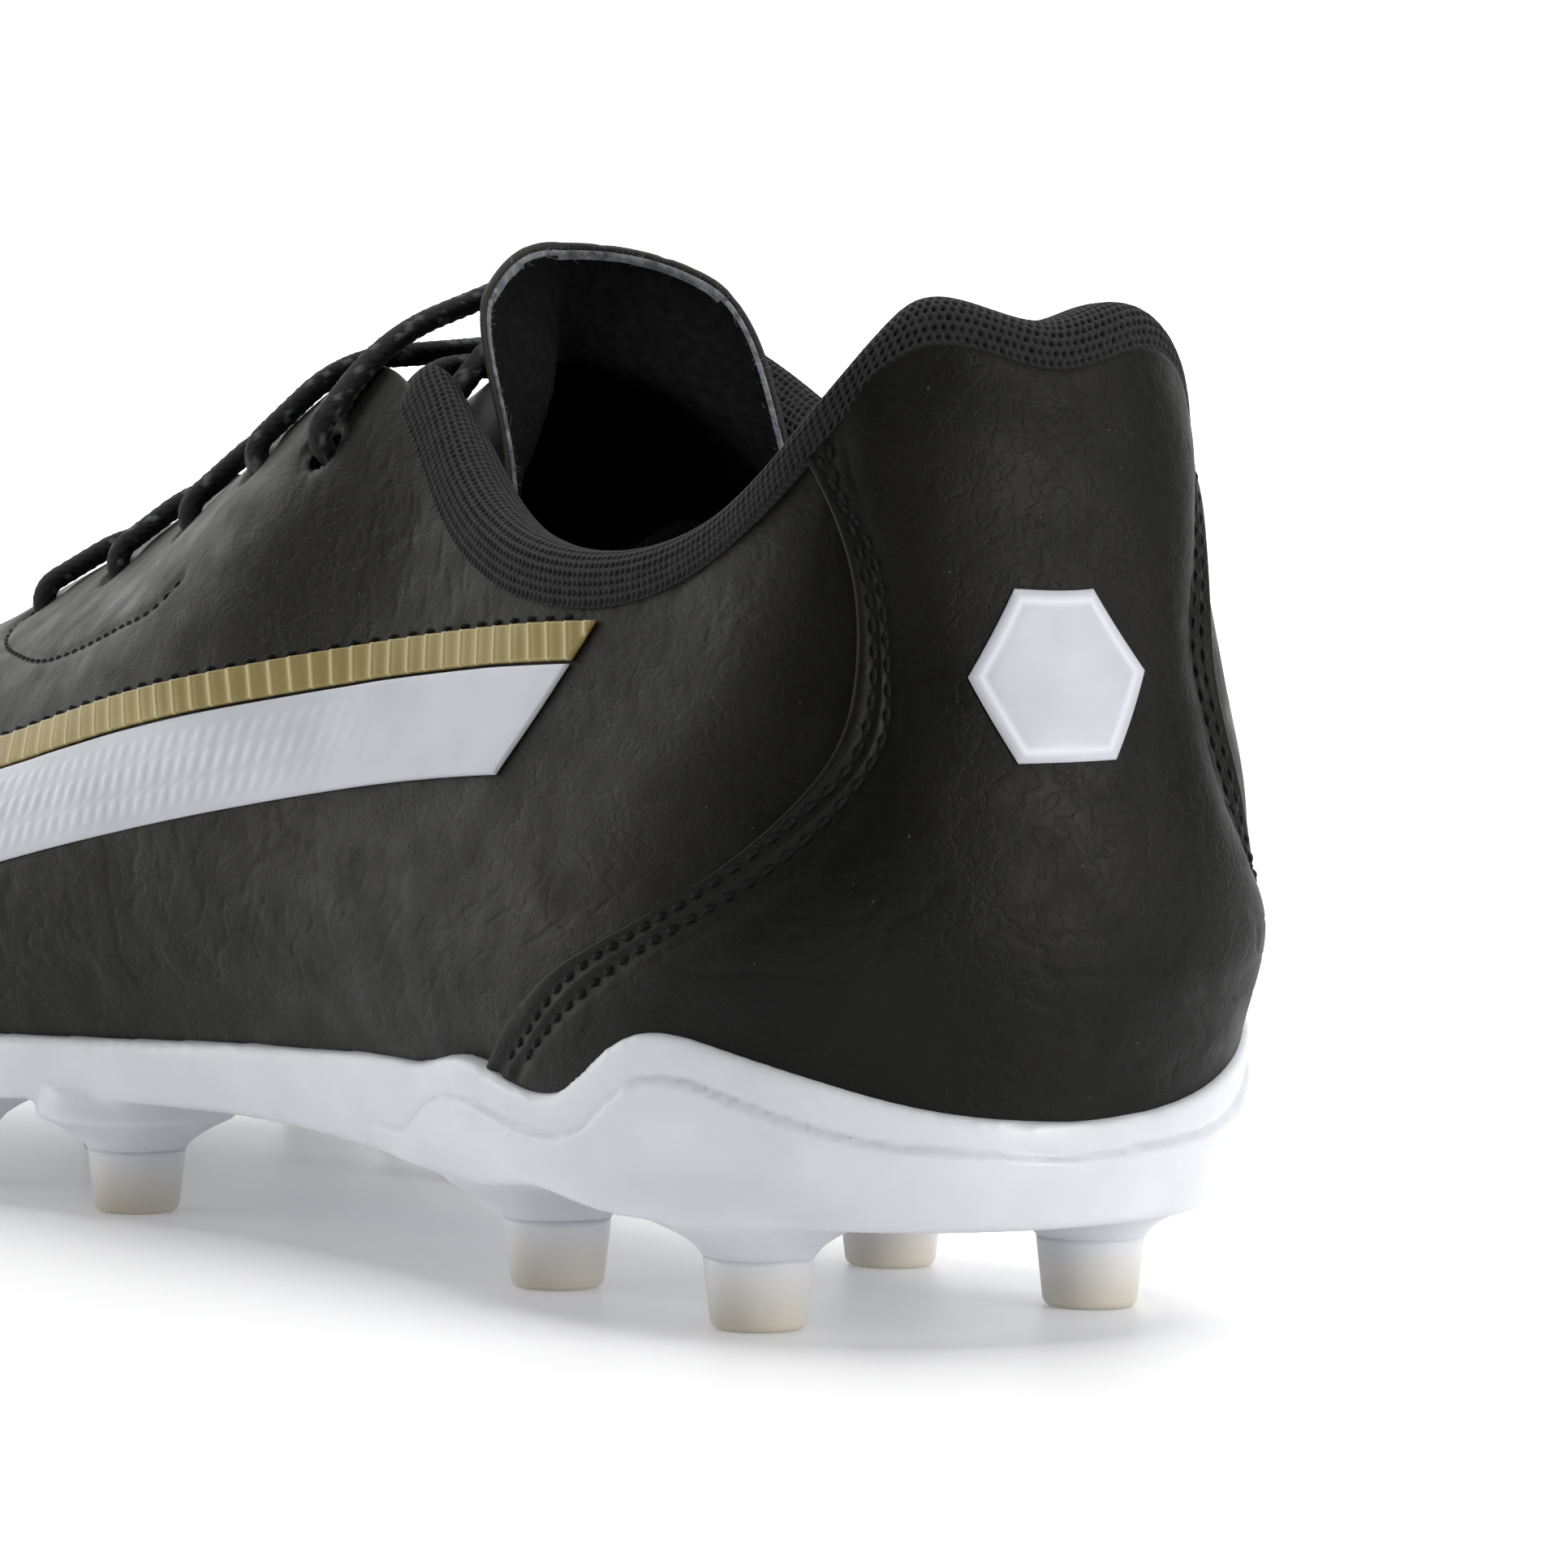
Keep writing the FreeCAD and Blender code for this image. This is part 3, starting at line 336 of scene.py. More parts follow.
def add_object(name, mesh, material, body):
    item = new_object(name, mesh)
    mesh.polygons.foreach_set("use_smooth", np.ones(len(mesh.polygons), bool))
    mesh.materials.append(material)
    if body:
        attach(item, body)
    return item


def build_mesh(name, points, faces, values=None, weld=False):
    """Mesh from points in mm and faces, with its normals outwards and float values at the points."""
    mesh = bpy.data.meshes.new(name)
    mesh.from_pydata((np.asarray(points) * MM).tolist(), [], faces)
    for label, numbers in (values or {}).items():
        layer = mesh.attributes.new(label, "FLOAT", "POINT")
        layer.data.foreach_set("value", np.asarray(numbers, np.float32).ravel())
    shape = bmesh.new()
    shape.from_mesh(mesh)
    if weld:
        bmesh.ops.remove_doubles(shape, verts=shape.verts, dist=1e-6)
        bmesh.ops.dissolve_degenerate(shape, edges=shape.edges, dist=1e-7)
    bmesh.ops.recalc_face_normals(shape, faces=shape.faces)
    shape.to_mesh(mesh)
    shape.free()
    mesh.update()
    return mesh


def tube_faces(rows, sides):
    """Faces of a tube of rings of points, with its two ends closed."""
    index = np.arange(rows * sides).reshape(rows, sides)
    ahead = np.roll(index, -1, axis=1)
    faces = np.stack([index[:-1], ahead[:-1], ahead[1:], index[1:]], -1).reshape(-1, 4).tolist()
    return faces + [index[0][::-1].tolist(), index[-1].tolist()]


def repeated(faces, size, count):
    """The faces of one piece of size points, for each of count such pieces."""
    return [[size * piece + corner for corner in face] for piece in range(count) for face in faces]


def sheet_faces(rows, columns, keep=None):
    """Faces of two grids of points and of the walls between them, round all kept cells."""
    if keep is None:
        keep = np.ones((rows - 1, columns - 1), bool)
    layer = rows * columns
    index = np.arange(layer).reshape(rows, columns)
    a, b = index[:-1, :-1][keep], index[1:, :-1][keep]
    c, d = index[1:, 1:][keep], index[:-1, 1:][keep]
    top = np.stack([a, b, c, d], 1)
    faces = [top, top[:, ::-1] + layer]
    padded = np.pad(keep, 1)
    inside = padded[1:-1, 1:-1]
    for neighbour, (i0, j0), (i1, j1) in (
        (padded[:-2, 1:-1], (0, 0), (0, 1)), (padded[2:, 1:-1], (1, 1), (1, 0)),
        (padded[1:-1, :-2], (1, 0), (0, 0)), (padded[1:-1, 2:], (0, 1), (1, 1)),
    ):
        cells = np.argwhere(inside & ~neighbour)
        first = index[cells[:, 0] + i0, cells[:, 1] + j0]
        second = index[cells[:, 0] + i1, cells[:, 1] + j1]
        faces.append(np.stack([first, second, second + layer, first + layer], 1))
    return np.concatenate(faces).tolist()


ALL_SIDES = ("start", "end", "bottom", "top")


def border_distance(points, sides=ALL_SIDES):
    """Distance of each grid point from the nearest of the chosen borders."""
    long = run_along(points)
    wide = run_along(points.swapaxes(0, 1)).T
    runs = {"start": long, "end": long[-1:] - long, "bottom": wide, "top": wide[:, -1:] - wide}
    return np.minimum.reduce([runs[side] for side in sides])


def rounded(distance, radius):
    """How far a surface has dropped beside an edge of that radius."""
    part = np.clip(1 - distance / radius, 0, 1)
    return radius * (1 - np.sqrt(np.maximum(1 - part * part, 0)))


def clustered(count, share=0.02):
    """Parameters from 0 to 1, evenly spaced, with three more close to each end."""
    ends = np.array([0.0, 0.08, 0.28, 0.6]) * share
    middle = np.linspace(share, 1 - share, count - 2 * len(ends))
    return np.concatenate([ends, middle, 1 - ends[::-1]])


def strip_grid(start, end, bottom, top, along, across):
    """(q, h) of a piece between two seams q(h) and two levels h(q)."""
    s, t = np.meshgrid(clustered(along), clustered(across), indexing="ij")
    foot = np.zeros_like(s)
    crest = np.full_like(s, EDGE)
    height = mix(bottom(mix(start(foot), end(foot), s)), top(mix(start(crest), end(crest), s)), t)
    q = mix(start(height), end(height), s)
    height = mix(bottom(q), top(q), t)
    return mix(start(height), end(height), s), height


EYELET_RADIUS = 2.4


def make_holes(points, centres, radius=EYELET_RADIUS):
    """Which cells stay, the points moved onto the holes' edges, and distance from those edges."""
    middle = (points[:-1, :-1] + points[1:, :-1] + points[1:, 1:] + points[:-1, 1:]) / 4
    keep = np.ones(middle.shape[:2], bool)
    moved = points.copy()
    distance = np.full(points.shape[:2], FAR)
    for centre in centres:
        gone = np.linalg.norm(middle - centre, axis=-1) < radius
        keep &= ~gone
        padded = np.pad(gone, 1)
        corners = np.stack([padded[:-1, :-1], padded[1:, :-1], padded[1:, 1:], padded[:-1, 1:]])
        border = corners.any(0) & ~corners.all(0)
        away = points - centre
        length = np.linalg.norm(away, axis=-1)
        on_edge = centre + away * (radius / np.maximum(length, 1e-6))[..., None]
        moved = np.where(border[..., None], on_edge, moved)
        distance = np.minimum(distance, np.where(border, 0.0, np.maximum(length - radius, 0.05)))
    return keep, moved, distance


def sheet(name, grid, outside, inside, material, edge=0.5, edge_highlight_width=0.35,
          holes=(), replaces=()):
    """A sheet on the last between two offsets, with rounded edges and punched holes."""
    q, h = grid
    base = last.point(q, h)
    out = last.normal(q, h)
    keep, moved, hole_distance = make_holes(base, holes)
    distance = np.minimum(border_distance(base), hole_distance)
    top = outside - rounded(distance, edge)
    outer = moved + out * top[..., None]
    inner = moved + out * np.broadcast_to(inside, q.shape)[..., None]
    points = np.concatenate([outer.reshape(-1, 3), inner.reshape(-1, 3)])
    # The pale band along the cut edges: partly the raw edge's own tone, partly a painted edge
    # highlight.
    values = {"raw_edge_and_highlight": np.tile(bell(distance, 0, edge_highlight_width).ravel(), 2)}
    mesh = build_mesh(name, points, sheet_faces(*q.shape, keep), values, weld=True)
    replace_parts(add_object(name, mesh, material, "boot"), *replaces)


def path_on_last(pairs, out=0.0, step=0.4):
    """Evenly spaced points and normals along a smooth line through (q, h) pairs."""
    pairs = np.array(pairs, float)
    corners = last.point(pairs[:, 0], pairs[:, 1])
    run = run_along(corners)
    line_q = profile(*zip(run, pairs[:, 0]))
    line_h = profile(*zip(run, pairs[:, 1]))
    at = np.linspace(0, run[-1], max(int(run[-1] / step), 8))
    q, h = line_q(at), line_h(at)
    height = out(q, h) if callable(out) else np.full(q.shape, float(out))
    return last.offset(q, h, height), last.normal(q, h)


def distance_to_lines(points, lines):
    """Distance of each point from the nearest of the dense lines."""
    tree = tree_of(np.concatenate(lines))
    flat = points.reshape(-1, 3)
    return np.array([tree.find(point)[2] for point in flat]).reshape(points.shape[:-1])


STITCH_RINGS = 7
STITCH_SIDES = 6
STITCH_BOW = 0.42      # how high a thread arches, in mm
STITCH_SINK = 0.32     # how deep its ends lie
STITCH_START = 0.3


def stitches(name, rows, pitch=2.3, length=1.75, thread=0.27):
    """Rows of sewn stitches: each is a short bowed thread whose ends go into the leather."""
    threads = []
    bow = np.sin(np.linspace(0, math.pi, STITCH_RINGS)) * STITCH_BOW - STITCH_SINK
    turn = np.linspace(0, 2 * math.pi, STITCH_SIDES, endpoint=False)
    for line, out in rows:
        run = run_along(line)
        for i in range(int(run[-1] / pitch)):
            at = i * pitch + STITCH_START + np.linspace(0, length, STITCH_RINGS)
            centre = along_line(at, run, line)
            up = along_line(at, run, out)
            side = np.cross(unit(np.gradient(centre, axis=0)), up)
            centre = centre + up * bow[:, None]
            threads.append(centre[:, None] + side[:, None] * (np.cos(turn) * thread)[None, :, None]
                           + up[:, None] * (np.sin(turn) * thread)[None, :, None])
    size = STITCH_RINGS * STITCH_SIDES
    faces = repeated(tube_faces(STITCH_RINGS, STITCH_SIDES), size, len(threads))
    mesh = build_mesh(name, np.reshape(threads, (-1, 3)), faces)
    add_object(name, mesh, LOOKS["thread"], "boot")


# ------------------------------------------------------------------ materials

class Shade:
    """A node material under construction."""

    def __init__(self, name, colour, roughness, **settings):
        self.material = bpy.data.materials.new(name)
        self.material.use_nodes = True
        self.nodes = self.material.node_tree.nodes
        self.links = self.material.node_tree.links
        self.surface = self.nodes["Principled BSDF"]
        self.surface.inputs["Base Color"].default_value = (*colour, 1)
        self.surface.inputs["Roughness"].default_value = roughness
        for label, value in settings.items():
            self.surface.inputs[label.replace("_", " ")].default_value = value
        self.place = self.nodes.new("ShaderNodeTexCoord").outputs["Object"]
        self.height = None

    def feed(self, socket, value):
        if isinstance(value, bpy.types.NodeSocket):
            self.links.new(value, socket)
        else:
            socket.default_value = value

    def add(self, kind, **inputs):
        node = self.nodes.new(kind)
        for label, value in inputs.items():
            self.feed(node.inputs[label.replace("_", " ")], value)
        return node

    def grain(self, size, detail=2.0, stretch=(1, 1, 1)):
        """Noise whose bumps are about size mm."""
        place = self.add("ShaderNodeMapping", Vector=self.place, Scale=stretch).outputs["Vector"]
        node = self.add("ShaderNodeTexNoise", Vector=place, Scale=1000.0 / size, Detail=detail)
        return node.outputs["Fac"]

    def cells(self, size, feature="F1"):
        node = self.add("ShaderNodeTexVoronoi", Vector=self.place, Scale=1000.0 / size)
        node.feature = feature
        return node.outputs["Distance"]

    def attribute(self, name):
        node = self.add("ShaderNodeAttribute")
        node.attribute_name = name
        return node.outputs["Fac"]

    def ranged(self, value, low, high, to_low=0.0, to_high=1.0):
        node = self.add("ShaderNodeMapRange", Value=value, From_Min=low, From_Max=high,
                        To_Min=to_low, To_Max=to_high)
        return node.outputs["Result"]

    def math(self, operation, *values):
        node = self.add("ShaderNodeMath")
        node.operation = operation
        for socket, value in zip(node.inputs, values):
            self.feed(socket, value)
        return node.outputs[0]

    def blend(self, share, low, high):
        """Colour between two colours or sockets."""
        node = self.add("ShaderNodeMix")
        node.data_type = "RGBA"
        for socket, value in zip((node.inputs[0], node.inputs[6], node.inputs[7]),
                                 (share, low, high)):
            self.feed(socket, (*value, 1) if isinstance(value, tuple) else value)
        return node.outputs[2]

    def colour(self, value):
        self.links.new(value, self.surface.inputs["Base Color"])

    def roughness(self, value):
        self.links.new(value, self.surface.inputs["Roughness"])

    def bump(self, height, depth, strength=1.0):
        """Adds relief of depth mm."""
        node = self.add("ShaderNodeBump", Height=height, Strength=strength, Distance=depth * MM)
        if self.height is not None:
            self.links.new(self.height, node.inputs["Normal"])
        self.height = node.outputs["Normal"]
        self.links.new(self.height, self.surface.inputs["Normal"])


def leather(name, dark, light, roughness):
    """Coated black leather: pores, crackle, hair-fine creases, pale specks, and cut edges painted
    paler: partly the raw edge's own tone, partly a painted edge highlight.
    """
    shade = Shade(name, dark, roughness, Specular_IOR_Level=0.13)
    colour = shade.blend(shade.ranged(shade.grain(16.0, 3.0), 0.35, 0.65), dark, light)
    speck = shade.ranged(shade.cells(2.2), 0.035, 0.07, 1.0, 0.0)
    rare = shade.ranged(shade.grain(7.0), 0.52, 0.58, 0.0, 0.6)
    colour = shade.blend(shade.math("MULTIPLY", speck, rare), colour, (0.1, 0.098, 0.092))
    # Painted highlight: the cut edges turn paler, partly the raw edge's own tone, partly a painted
    # edge highlight.
    colour = shade.blend(shade.ranged(shade.attribute("raw_edge_and_highlight"), 0.3, 1.0, 0.0, 0.5),
                         colour, (0.055, 0.052, 0.046))
    shade.colour(colour)
    shade.roughness(shade.ranged(shade.grain(5.0, 3.0), 0.3, 0.7, roughness - 0.08,
                                 roughness + 0.08))
    shade.bump(shade.ranged(shade.cells(0.7, "SMOOTH_F1"), 0.0, 0.6), 0.03, 0.6)
    shade.bump(shade.grain(1.3, 4.0, (0.6, 1, 1)), 0.07, 0.4)
    for size, depth in ((2.0, 0.035), (5.0, 0.04)):
        field = shade.math("SUBTRACT", shade.grain(size, 5.0, (0.5, 1, 1)), 0.5)
        shade.bump(shade.ranged(shade.math("ABSOLUTE", field), 0.0, 0.035), depth, 0.55)
    return shade.material


def cloth(name, dark, light, size, roughness=0.9, sheen=0.06):
    """Brushed or knitted cloth."""
    shade = Shade(name, dark, roughness, Sheen_Weight=sheen, Specular_IOR_Level=0.12)
    shade.surface.inputs["Sheen Tint"].default_value = (0.6, 0.62, 0.66, 1)
    shade.colour(shade.blend(shade.ranged(shade.grain(size, 3.0), 0.35, 0.7), dark, light))
    shade.bump(shade.cells(size * 0.6), 0.12, 0.7)
    shade.bump(shade.grain(size * 0.4, 2.0), 0.08, 0.5)
    return shade.material


def knit():
    """Knit tape: pale yarn on the loops, with painted shade, near black, in the holes between them."""
    shade = Shade("knit_tape", (0.012, 0.012, 0.013), 0.85, Sheen_Weight=0.06,
                  Specular_IOR_Level=0.2)
    # Painted shade: the yarn goes near black where the loop value is low, in the holes.
    yarn = shade.blend(shade.ranged(shade.attribute("loop_and_shade"), 0.25, 0.95),
                       (0.0012, 0.0012, 0.0014), (0.02, 0.0205, 0.0225))
    shade.colour(shade.blend(shade.ranged(shade.grain(0.5, 2.0), 0.5, 0.75, 0, 0.5), yarn,
                             (0.006, 0.006, 0.007)))
    shade.bump(shade.grain(0.16, 2.0), 0.03, 0.6)
    return shade.material


def braid():
    """Lace yarn: black, with pale flecks and fine fibres, and painted shade, near black, in the
    grooves between the braid's cells.
    """
    shade = Shade("lace_yarn", (0.012, 0.012, 0.013), 0.8, Sheen_Weight=0.06,
                  Specular_IOR_Level=0.2)
    # Painted shade: the yarn goes near black in the grooves, where the loop value is low.
    yarn = shade.blend(shade.ranged(shade.attribute("loop_and_shade"), 0.2, 0.9),
                       (0.0015, 0.0015, 0.0017), (0.014, 0.0143, 0.0155))
    shade.colour(shade.blend(shade.attribute("fleck"), yarn, (0.09, 0.093, 0.097)))
    shade.bump(shade.grain(0.18), 0.03, 0.6)
    return shade.material


def moulded_shade(name, colour, roughness, scatter, radius):
    shade = Shade(name, colour, roughness, Subsurface_Weight=scatter, Subsurface_Scale=0.002,
                  Specular_IOR_Level=0.4)
    shade.surface.inputs["Subsurface Radius"].default_value = radius
    shade.bump(shade.grain(0.35), 0.02, 0.35)
    return shade


def moulded(name, colour, roughness, scatter, radius):
    """Moulded TPU with faint mottling and a fine matte skin."""
    shade = moulded_shade(name, colour, roughness, scatter, radius)
    darker = tuple(part * 0.93 for part in colour)
    shade.colour(shade.blend(shade.ranged(shade.grain(9.0, 3.0), 0.35, 0.65), darker, colour))
    shade.roughness(shade.ranged(shade.grain(6.0), 0.3, 0.7, roughness - 0.06, roughness + 0.06))
    return shade.material


def stud_look():
    """Ivory TPU that clears towards the white above it."""
    shade = moulded_shade("stud_tip_look", (0.7, 0.66, 0.58), 0.3, 0.4, (1.4, 1.2, 0.8))
    split = shade.add("ShaderNodeSeparateXYZ", Vector=shade.place)
    wander = shade.math("MULTIPLY", shade.grain(5.0), 1.5 * MM)
    height = shade.math("ADD", split.outputs["Z"], wander)
    share = shade.ranged(height, 1.0 * MM, 7.2 * MM)
    shade.colour(shade.blend(share, (0.66, 0.62, 0.53), (0.77, 0.775, 0.8)))
    return shade.material


def film(name, colour, groove, roughness, metallic=0.0):
    """Pressed film, with a painted highlight: a paler line along its pressed grooves."""
    shade = Shade(name, colour, roughness, Metallic=metallic, Specular_IOR_Level=0.45)
    tone = shade.blend(shade.ranged(shade.grain(8.0), 0.35, 0.65),
                       tuple(part * 0.9 for part in colour), colour)
    # Painted highlight along the pressed lines.
    shade.colour(shade.blend(shade.attribute("press_highlight"), tone, groove))
    shade.bump(shade.grain(0.5, 2.0), 0.015, 0.4)
    return shade.material


def board(name, dark, light):
    """Fibre board, foam and other hidden sheet stock."""
    shade = Shade(name, dark, 0.85)
    shade.colour(shade.blend(shade.ranged(shade.grain(1.5, 4.0), 0.35, 0.65), dark, light))
    shade.bump(shade.grain(0.6, 3.0), 0.08, 0.6)
    return shade.material


LOOKS = {
    "quarter": leather("quarter_leather_look", (0.0046, 0.0044, 0.0031), (0.008, 0.0077, 0.0056),
                       0.46),
    "heel": leather("heel_leather_look", (0.0042, 0.0041, 0.0037), (0.0072, 0.0069, 0.0062), 0.46),
    "vamp": leather("vamp_leather_look", (0.006, 0.0057, 0.005), (0.01, 0.0096, 0.0085), 0.48),
    "tongue": leather("tongue_leather_look", (0.0045, 0.0043, 0.004), (0.0075, 0.0072, 0.0066), 0.48),
    "thread": cloth("thread_look", (0.003, 0.003, 0.003), (0.011, 0.011, 0.011), 0.5, 0.55, 0.04),
    "lining": cloth("lining_look", (0.0015, 0.0015, 0.0016), (0.0035, 0.0035, 0.0038), 1.0, 0.95, 0.0),
    "felt": cloth("felt_look", (0.0015, 0.0015, 0.0016), (0.005, 0.005, 0.0054), 1.4, 0.95, 0.0),
    "felt_edge": cloth("felt_edge_look", (0.09, 0.095, 0.105), (0.26, 0.27, 0.3), 1.1, 0.95, 0.3),
    "knit": knit(),
    "lace": braid(),
    "outsole": moulded("outsole_look", (0.76, 0.775, 0.83), 0.34, 0.2, (1.0, 1.0, 1.2)),
    "stud": stud_look(),
    "gold": film("gold_look", (0.27, 0.21, 0.07), (0.55, 0.47, 0.24), 0.38, 0.3),
    "white": film("white_film_look", (0.56, 0.585, 0.64), (0.72, 0.74, 0.81), 0.4),
    "board": board("board_look", (0.42, 0.36, 0.27), (0.55, 0.48, 0.38)),
    "foam": board("foam_look", (0.03, 0.03, 0.032), (0.06, 0.06, 0.065)),
    "stiff": board("stiffener_look", (0.6, 0.58, 0.52), (0.7, 0.68, 0.62)),
    "tip": moulded("lace_tip_look", (0.02, 0.02, 0.021), 0.25, 0.0, (1, 1, 1)),
}

# ------------------------------------------------------------------ seams, as in the frame

panel_lateral = profile(
    (0.0, 0.112), (0.125, 0.0975), (0.25, 0.0765), (0.35, 0.0495), (0.42, 0.0365), (0.5, 0.0333),
    (0.6, 0.0368), (0.7, 0.0465), (0.78, 0.056),
)
panel_medial = profile(
    (0.0, -0.108), (0.125, -0.085), (0.22, -0.056), (0.3, -0.038), (0.4, -0.0298), (0.5, -0.028),
    (0.6, -0.035), (0.7, -0.047), (0.78, -0.056),
)
vamp_lateral = profile((0.0, 0.288), (0.2, 0.292), (0.4, 0.3), (0.6, 0.316), (0.78, 0.342))
vamp_medial = profile((0.0, 0.702), (0.2, 0.698), (0.4, 0.69), (0.6, 0.675), (0.78, 0.65))
bite_half = profile(
    (0.0, 0.071), (0.0133, 0.079), (0.0242, 0.096), (0.0358, 0.125), (0.0475, 0.156),
    (0.0592, 0.175), (0.0665, 0.157), (0.075, 0.11), (0.0815, 0.096), (0.0917, 0.108),
    (0.104, 0.132), (0.12, 0.113), (0.135, 0.1), (0.158, 0.076), (0.184, 0.062),
    (0.2075, 0.055), (0.25, 0.06), (0.31, 0.08), (0.38, 0.1), (0.45, 0.125), (0.5, 0.14),
    (0.51, 0.14),
)
PANEL_LAP = 0.012      # how far round a quarter goes under the heel panel, in q
SEAM_GAP = 0.0007      # half the gap at the vamp's seam, in q
TUCK = 0.006           # h at which the leather ends, inside the rim
COLLAR_LATERAL = 0.187
COLLAR_MEDIAL = -0.196
# Depths under the last's surface are negative, in mm.
LEATHER_IN = -1.2
LINING_OUT = -2.2
LINING_IN = -3.0
COLLAR_FOAM = 4.0
PANEL_LOW = 0.15
PANEL_TOP = 1.25
FILM = 0.4
TOP_LEVEL = EDGE - 0.004


def mirrored(pairs):
    return tuple((-q, h) for q, h in pairs)


def bite_line(q):
    return bite_half(from_heel(q))


def above_bite(q, h):
    """0 at the line where the upper meets the sole, 1 above it."""
    return ease(h, bite_line(q), bite_line(q) + 0.05)


# Stitching and the padded part's edge on the heel panel, as (q, h) from the collar down.
LATERAL_STITCH_OUTER = (
    (0.0508, 0.754), (0.04, 0.662), (0.035, 0.608), (0.0308, 0.529), (0.03, 0.471),
    (0.0317, 0.425), (0.0375, 0.388), (0.0492, 0.338), (0.0617, 0.292), (0.0775, 0.221),
    (0.0875, 0.154), (0.0942, 0.117),
)
LATERAL_STITCH_INNER = (
    (0.0478, 0.754), (0.0442, 0.704), (0.0342, 0.621), (0.03, 0.558), (0.0278, 0.492),
    (0.0278, 0.438), (0.0305, 0.404), (0.0358, 0.366), (0.0483, 0.314), (0.0617, 0.268),
    (0.0742, 0.206), (0.0845, 0.146), (0.089, 0.117),
)
LATERAL_PUFF = (
    (0.047, 0.776), (0.0375, 0.667), (0.0292, 0.571), (0.0262, 0.512), (0.0258, 0.45),
    (0.028, 0.4), (0.034, 0.35), (0.0463, 0.3), (0.0595, 0.25), (0.072, 0.19), (0.08, 0.15),
)
MEDIAL_STITCH_OUTER = (
    (-0.0508, 0.754), (-0.044, 0.7), (-0.0325, 0.6), (-0.0258, 0.52), (-0.0258, 0.45),
    (-0.0278, 0.39), (-0.034, 0.318), (-0.046, 0.26), (-0.063, 0.195), (-0.078, 0.135),
    (-0.084, 0.115),
)
MEDIAL_STITCH_INNER = (
    (-0.0478, 0.754), (-0.041, 0.7), (-0.0298, 0.6), (-0.0235, 0.52), (-0.0235, 0.45),
    (-0.0253, 0.39), (-0.0312, 0.326), (-0.043, 0.27), (-0.0595, 0.206), (-0.0745, 0.145),
    (-0.08, 0.12),
)
MEDIAL_PUFF = (
    (-0.0455, 0.776), (-0.0385, 0.7), (-0.0276, 0.6), (-0.0217, 0.52), (-0.0215, 0.45),
    (-0.023, 0.39), (-0.0288, 0.33), (-0.04, 0.28), (-0.0565, 0.216), (-0.0715, 0.155),
)
EYESTAY_STITCH = (
    (0.2183, 0.562), (0.2233, 0.542), (0.2342, 0.54), (0.2492, 0.544), (0.2642, 0.55),
    (0.2783, 0.575), (0.2958, 0.625), (0.305, 0.69), (0.308, 0.74),
)
RIM_STEP = (
    (0.13, 0.008), (0.1142, 0.071), (0.1025, 0.079), (0.0842, 0.05), (0.0717, 0.062),
    (0.0617, 0.117), (0.0558, 0.125), (0.0475, 0.108), (0.0358, 0.075), (0.0242, 0.054),
    (0.0133, 0.046), (0.0, 0.037),
)
HEEL_STITCHES = (LATERAL_STITCH_OUTER, LATERAL_STITCH_INNER, MEDIAL_STITCH_OUTER,
                 MEDIAL_STITCH_INNER)


# ------------------------------------------------------------------ heel panel

def puff_share(q, h, points):
    """0 outside the padded part of the heel panel, 1 well inside it."""
    lines = [path_on_last(LATERAL_PUFF, PANEL_TOP)[0], path_on_last(MEDIAL_PUFF, PANEL_TOP)[0]]
    distance = distance_to_lines(points, lines)
    lateral = np.array(LATERAL_PUFF)[::-1]
    medial = np.array(MEDIAL_PUFF)[::-1]
    around = np.where(q > 0.5, q - 1, q)
    inside = (around < np.interp(h, lateral[:, 1], lateral[:, 0])) & (
        around > np.interp(h, medial[:, 1], medial[:, 0]))
    share = np.where(inside, 1 - np.exp(-distance / 2.6), 0.0)
    top_fade = 1 - ease(h, 0.70, TOP_LEVEL)
    low_fade = ease(h, bite_line(q) + 0.005, bite_line(q) + 0.16)
    return share * low_fade * mix(0.25, 1.0, top_fade)


PUFF_HEIGHT = 1.5
HEEL_DRAWN = 0.42      # how deep the stitching pulls the heel's leather in


def panel_outside(q, h):
    """Outer face of the heel panel: padded in the middle, drawn in along its stitching."""
    points = last.offset(q, h, np.full(np.shape(q), PANEL_TOP))
    puff = PUFF_HEIGHT * puff_share(q, h, points)
    rows = [path_on_last(pairs, PANEL_TOP)[0] for pairs in HEEL_STITCHES]
    drawn = HEEL_DRAWN * bell(distance_to_lines(points, rows), 0, 0.75)
    waves = 0.12 * noise(points, (9.0, 9.0, 16.0), 3) + 0.05 * noise(points, (3.5, 3.5, 5.0), 5)
    folds = 0.13 * creases(points, (9.0, 9.0, 3.0), 11) * ease(h, 0.45, 0.2)
    return PANEL_TOP + puff - drawn + (waves - folds) * above_bite(q, h)


def make_heel_panel():
    grid = strip_grid(panel_medial, panel_lateral, lambda q: 0.6 * bite_line(q),
                      constant(TOP_LEVEL), 250, 170)
    sheet("heel_panel_leather", grid, panel_outside(*grid), PANEL_LOW, LOOKS["heel"],
          edge=0.6, edge_highlight_width=0.3, replaces=("heel_panel",))
    rows = [path_on_last(pairs, lambda q, h: panel_outside(q, h) + 0.06)
            for pairs in HEEL_STITCHES]
    stitches("heel_panel_stitches", rows)


EMBLEM_Q = 0.0035
EMBLEM_LEVEL = 0.5
EMBLEM_RADIUS = 9.0
EMBLEM_RIM = 0.12      # depth of the pressed line along its border
SIXTH = math.radians(60)


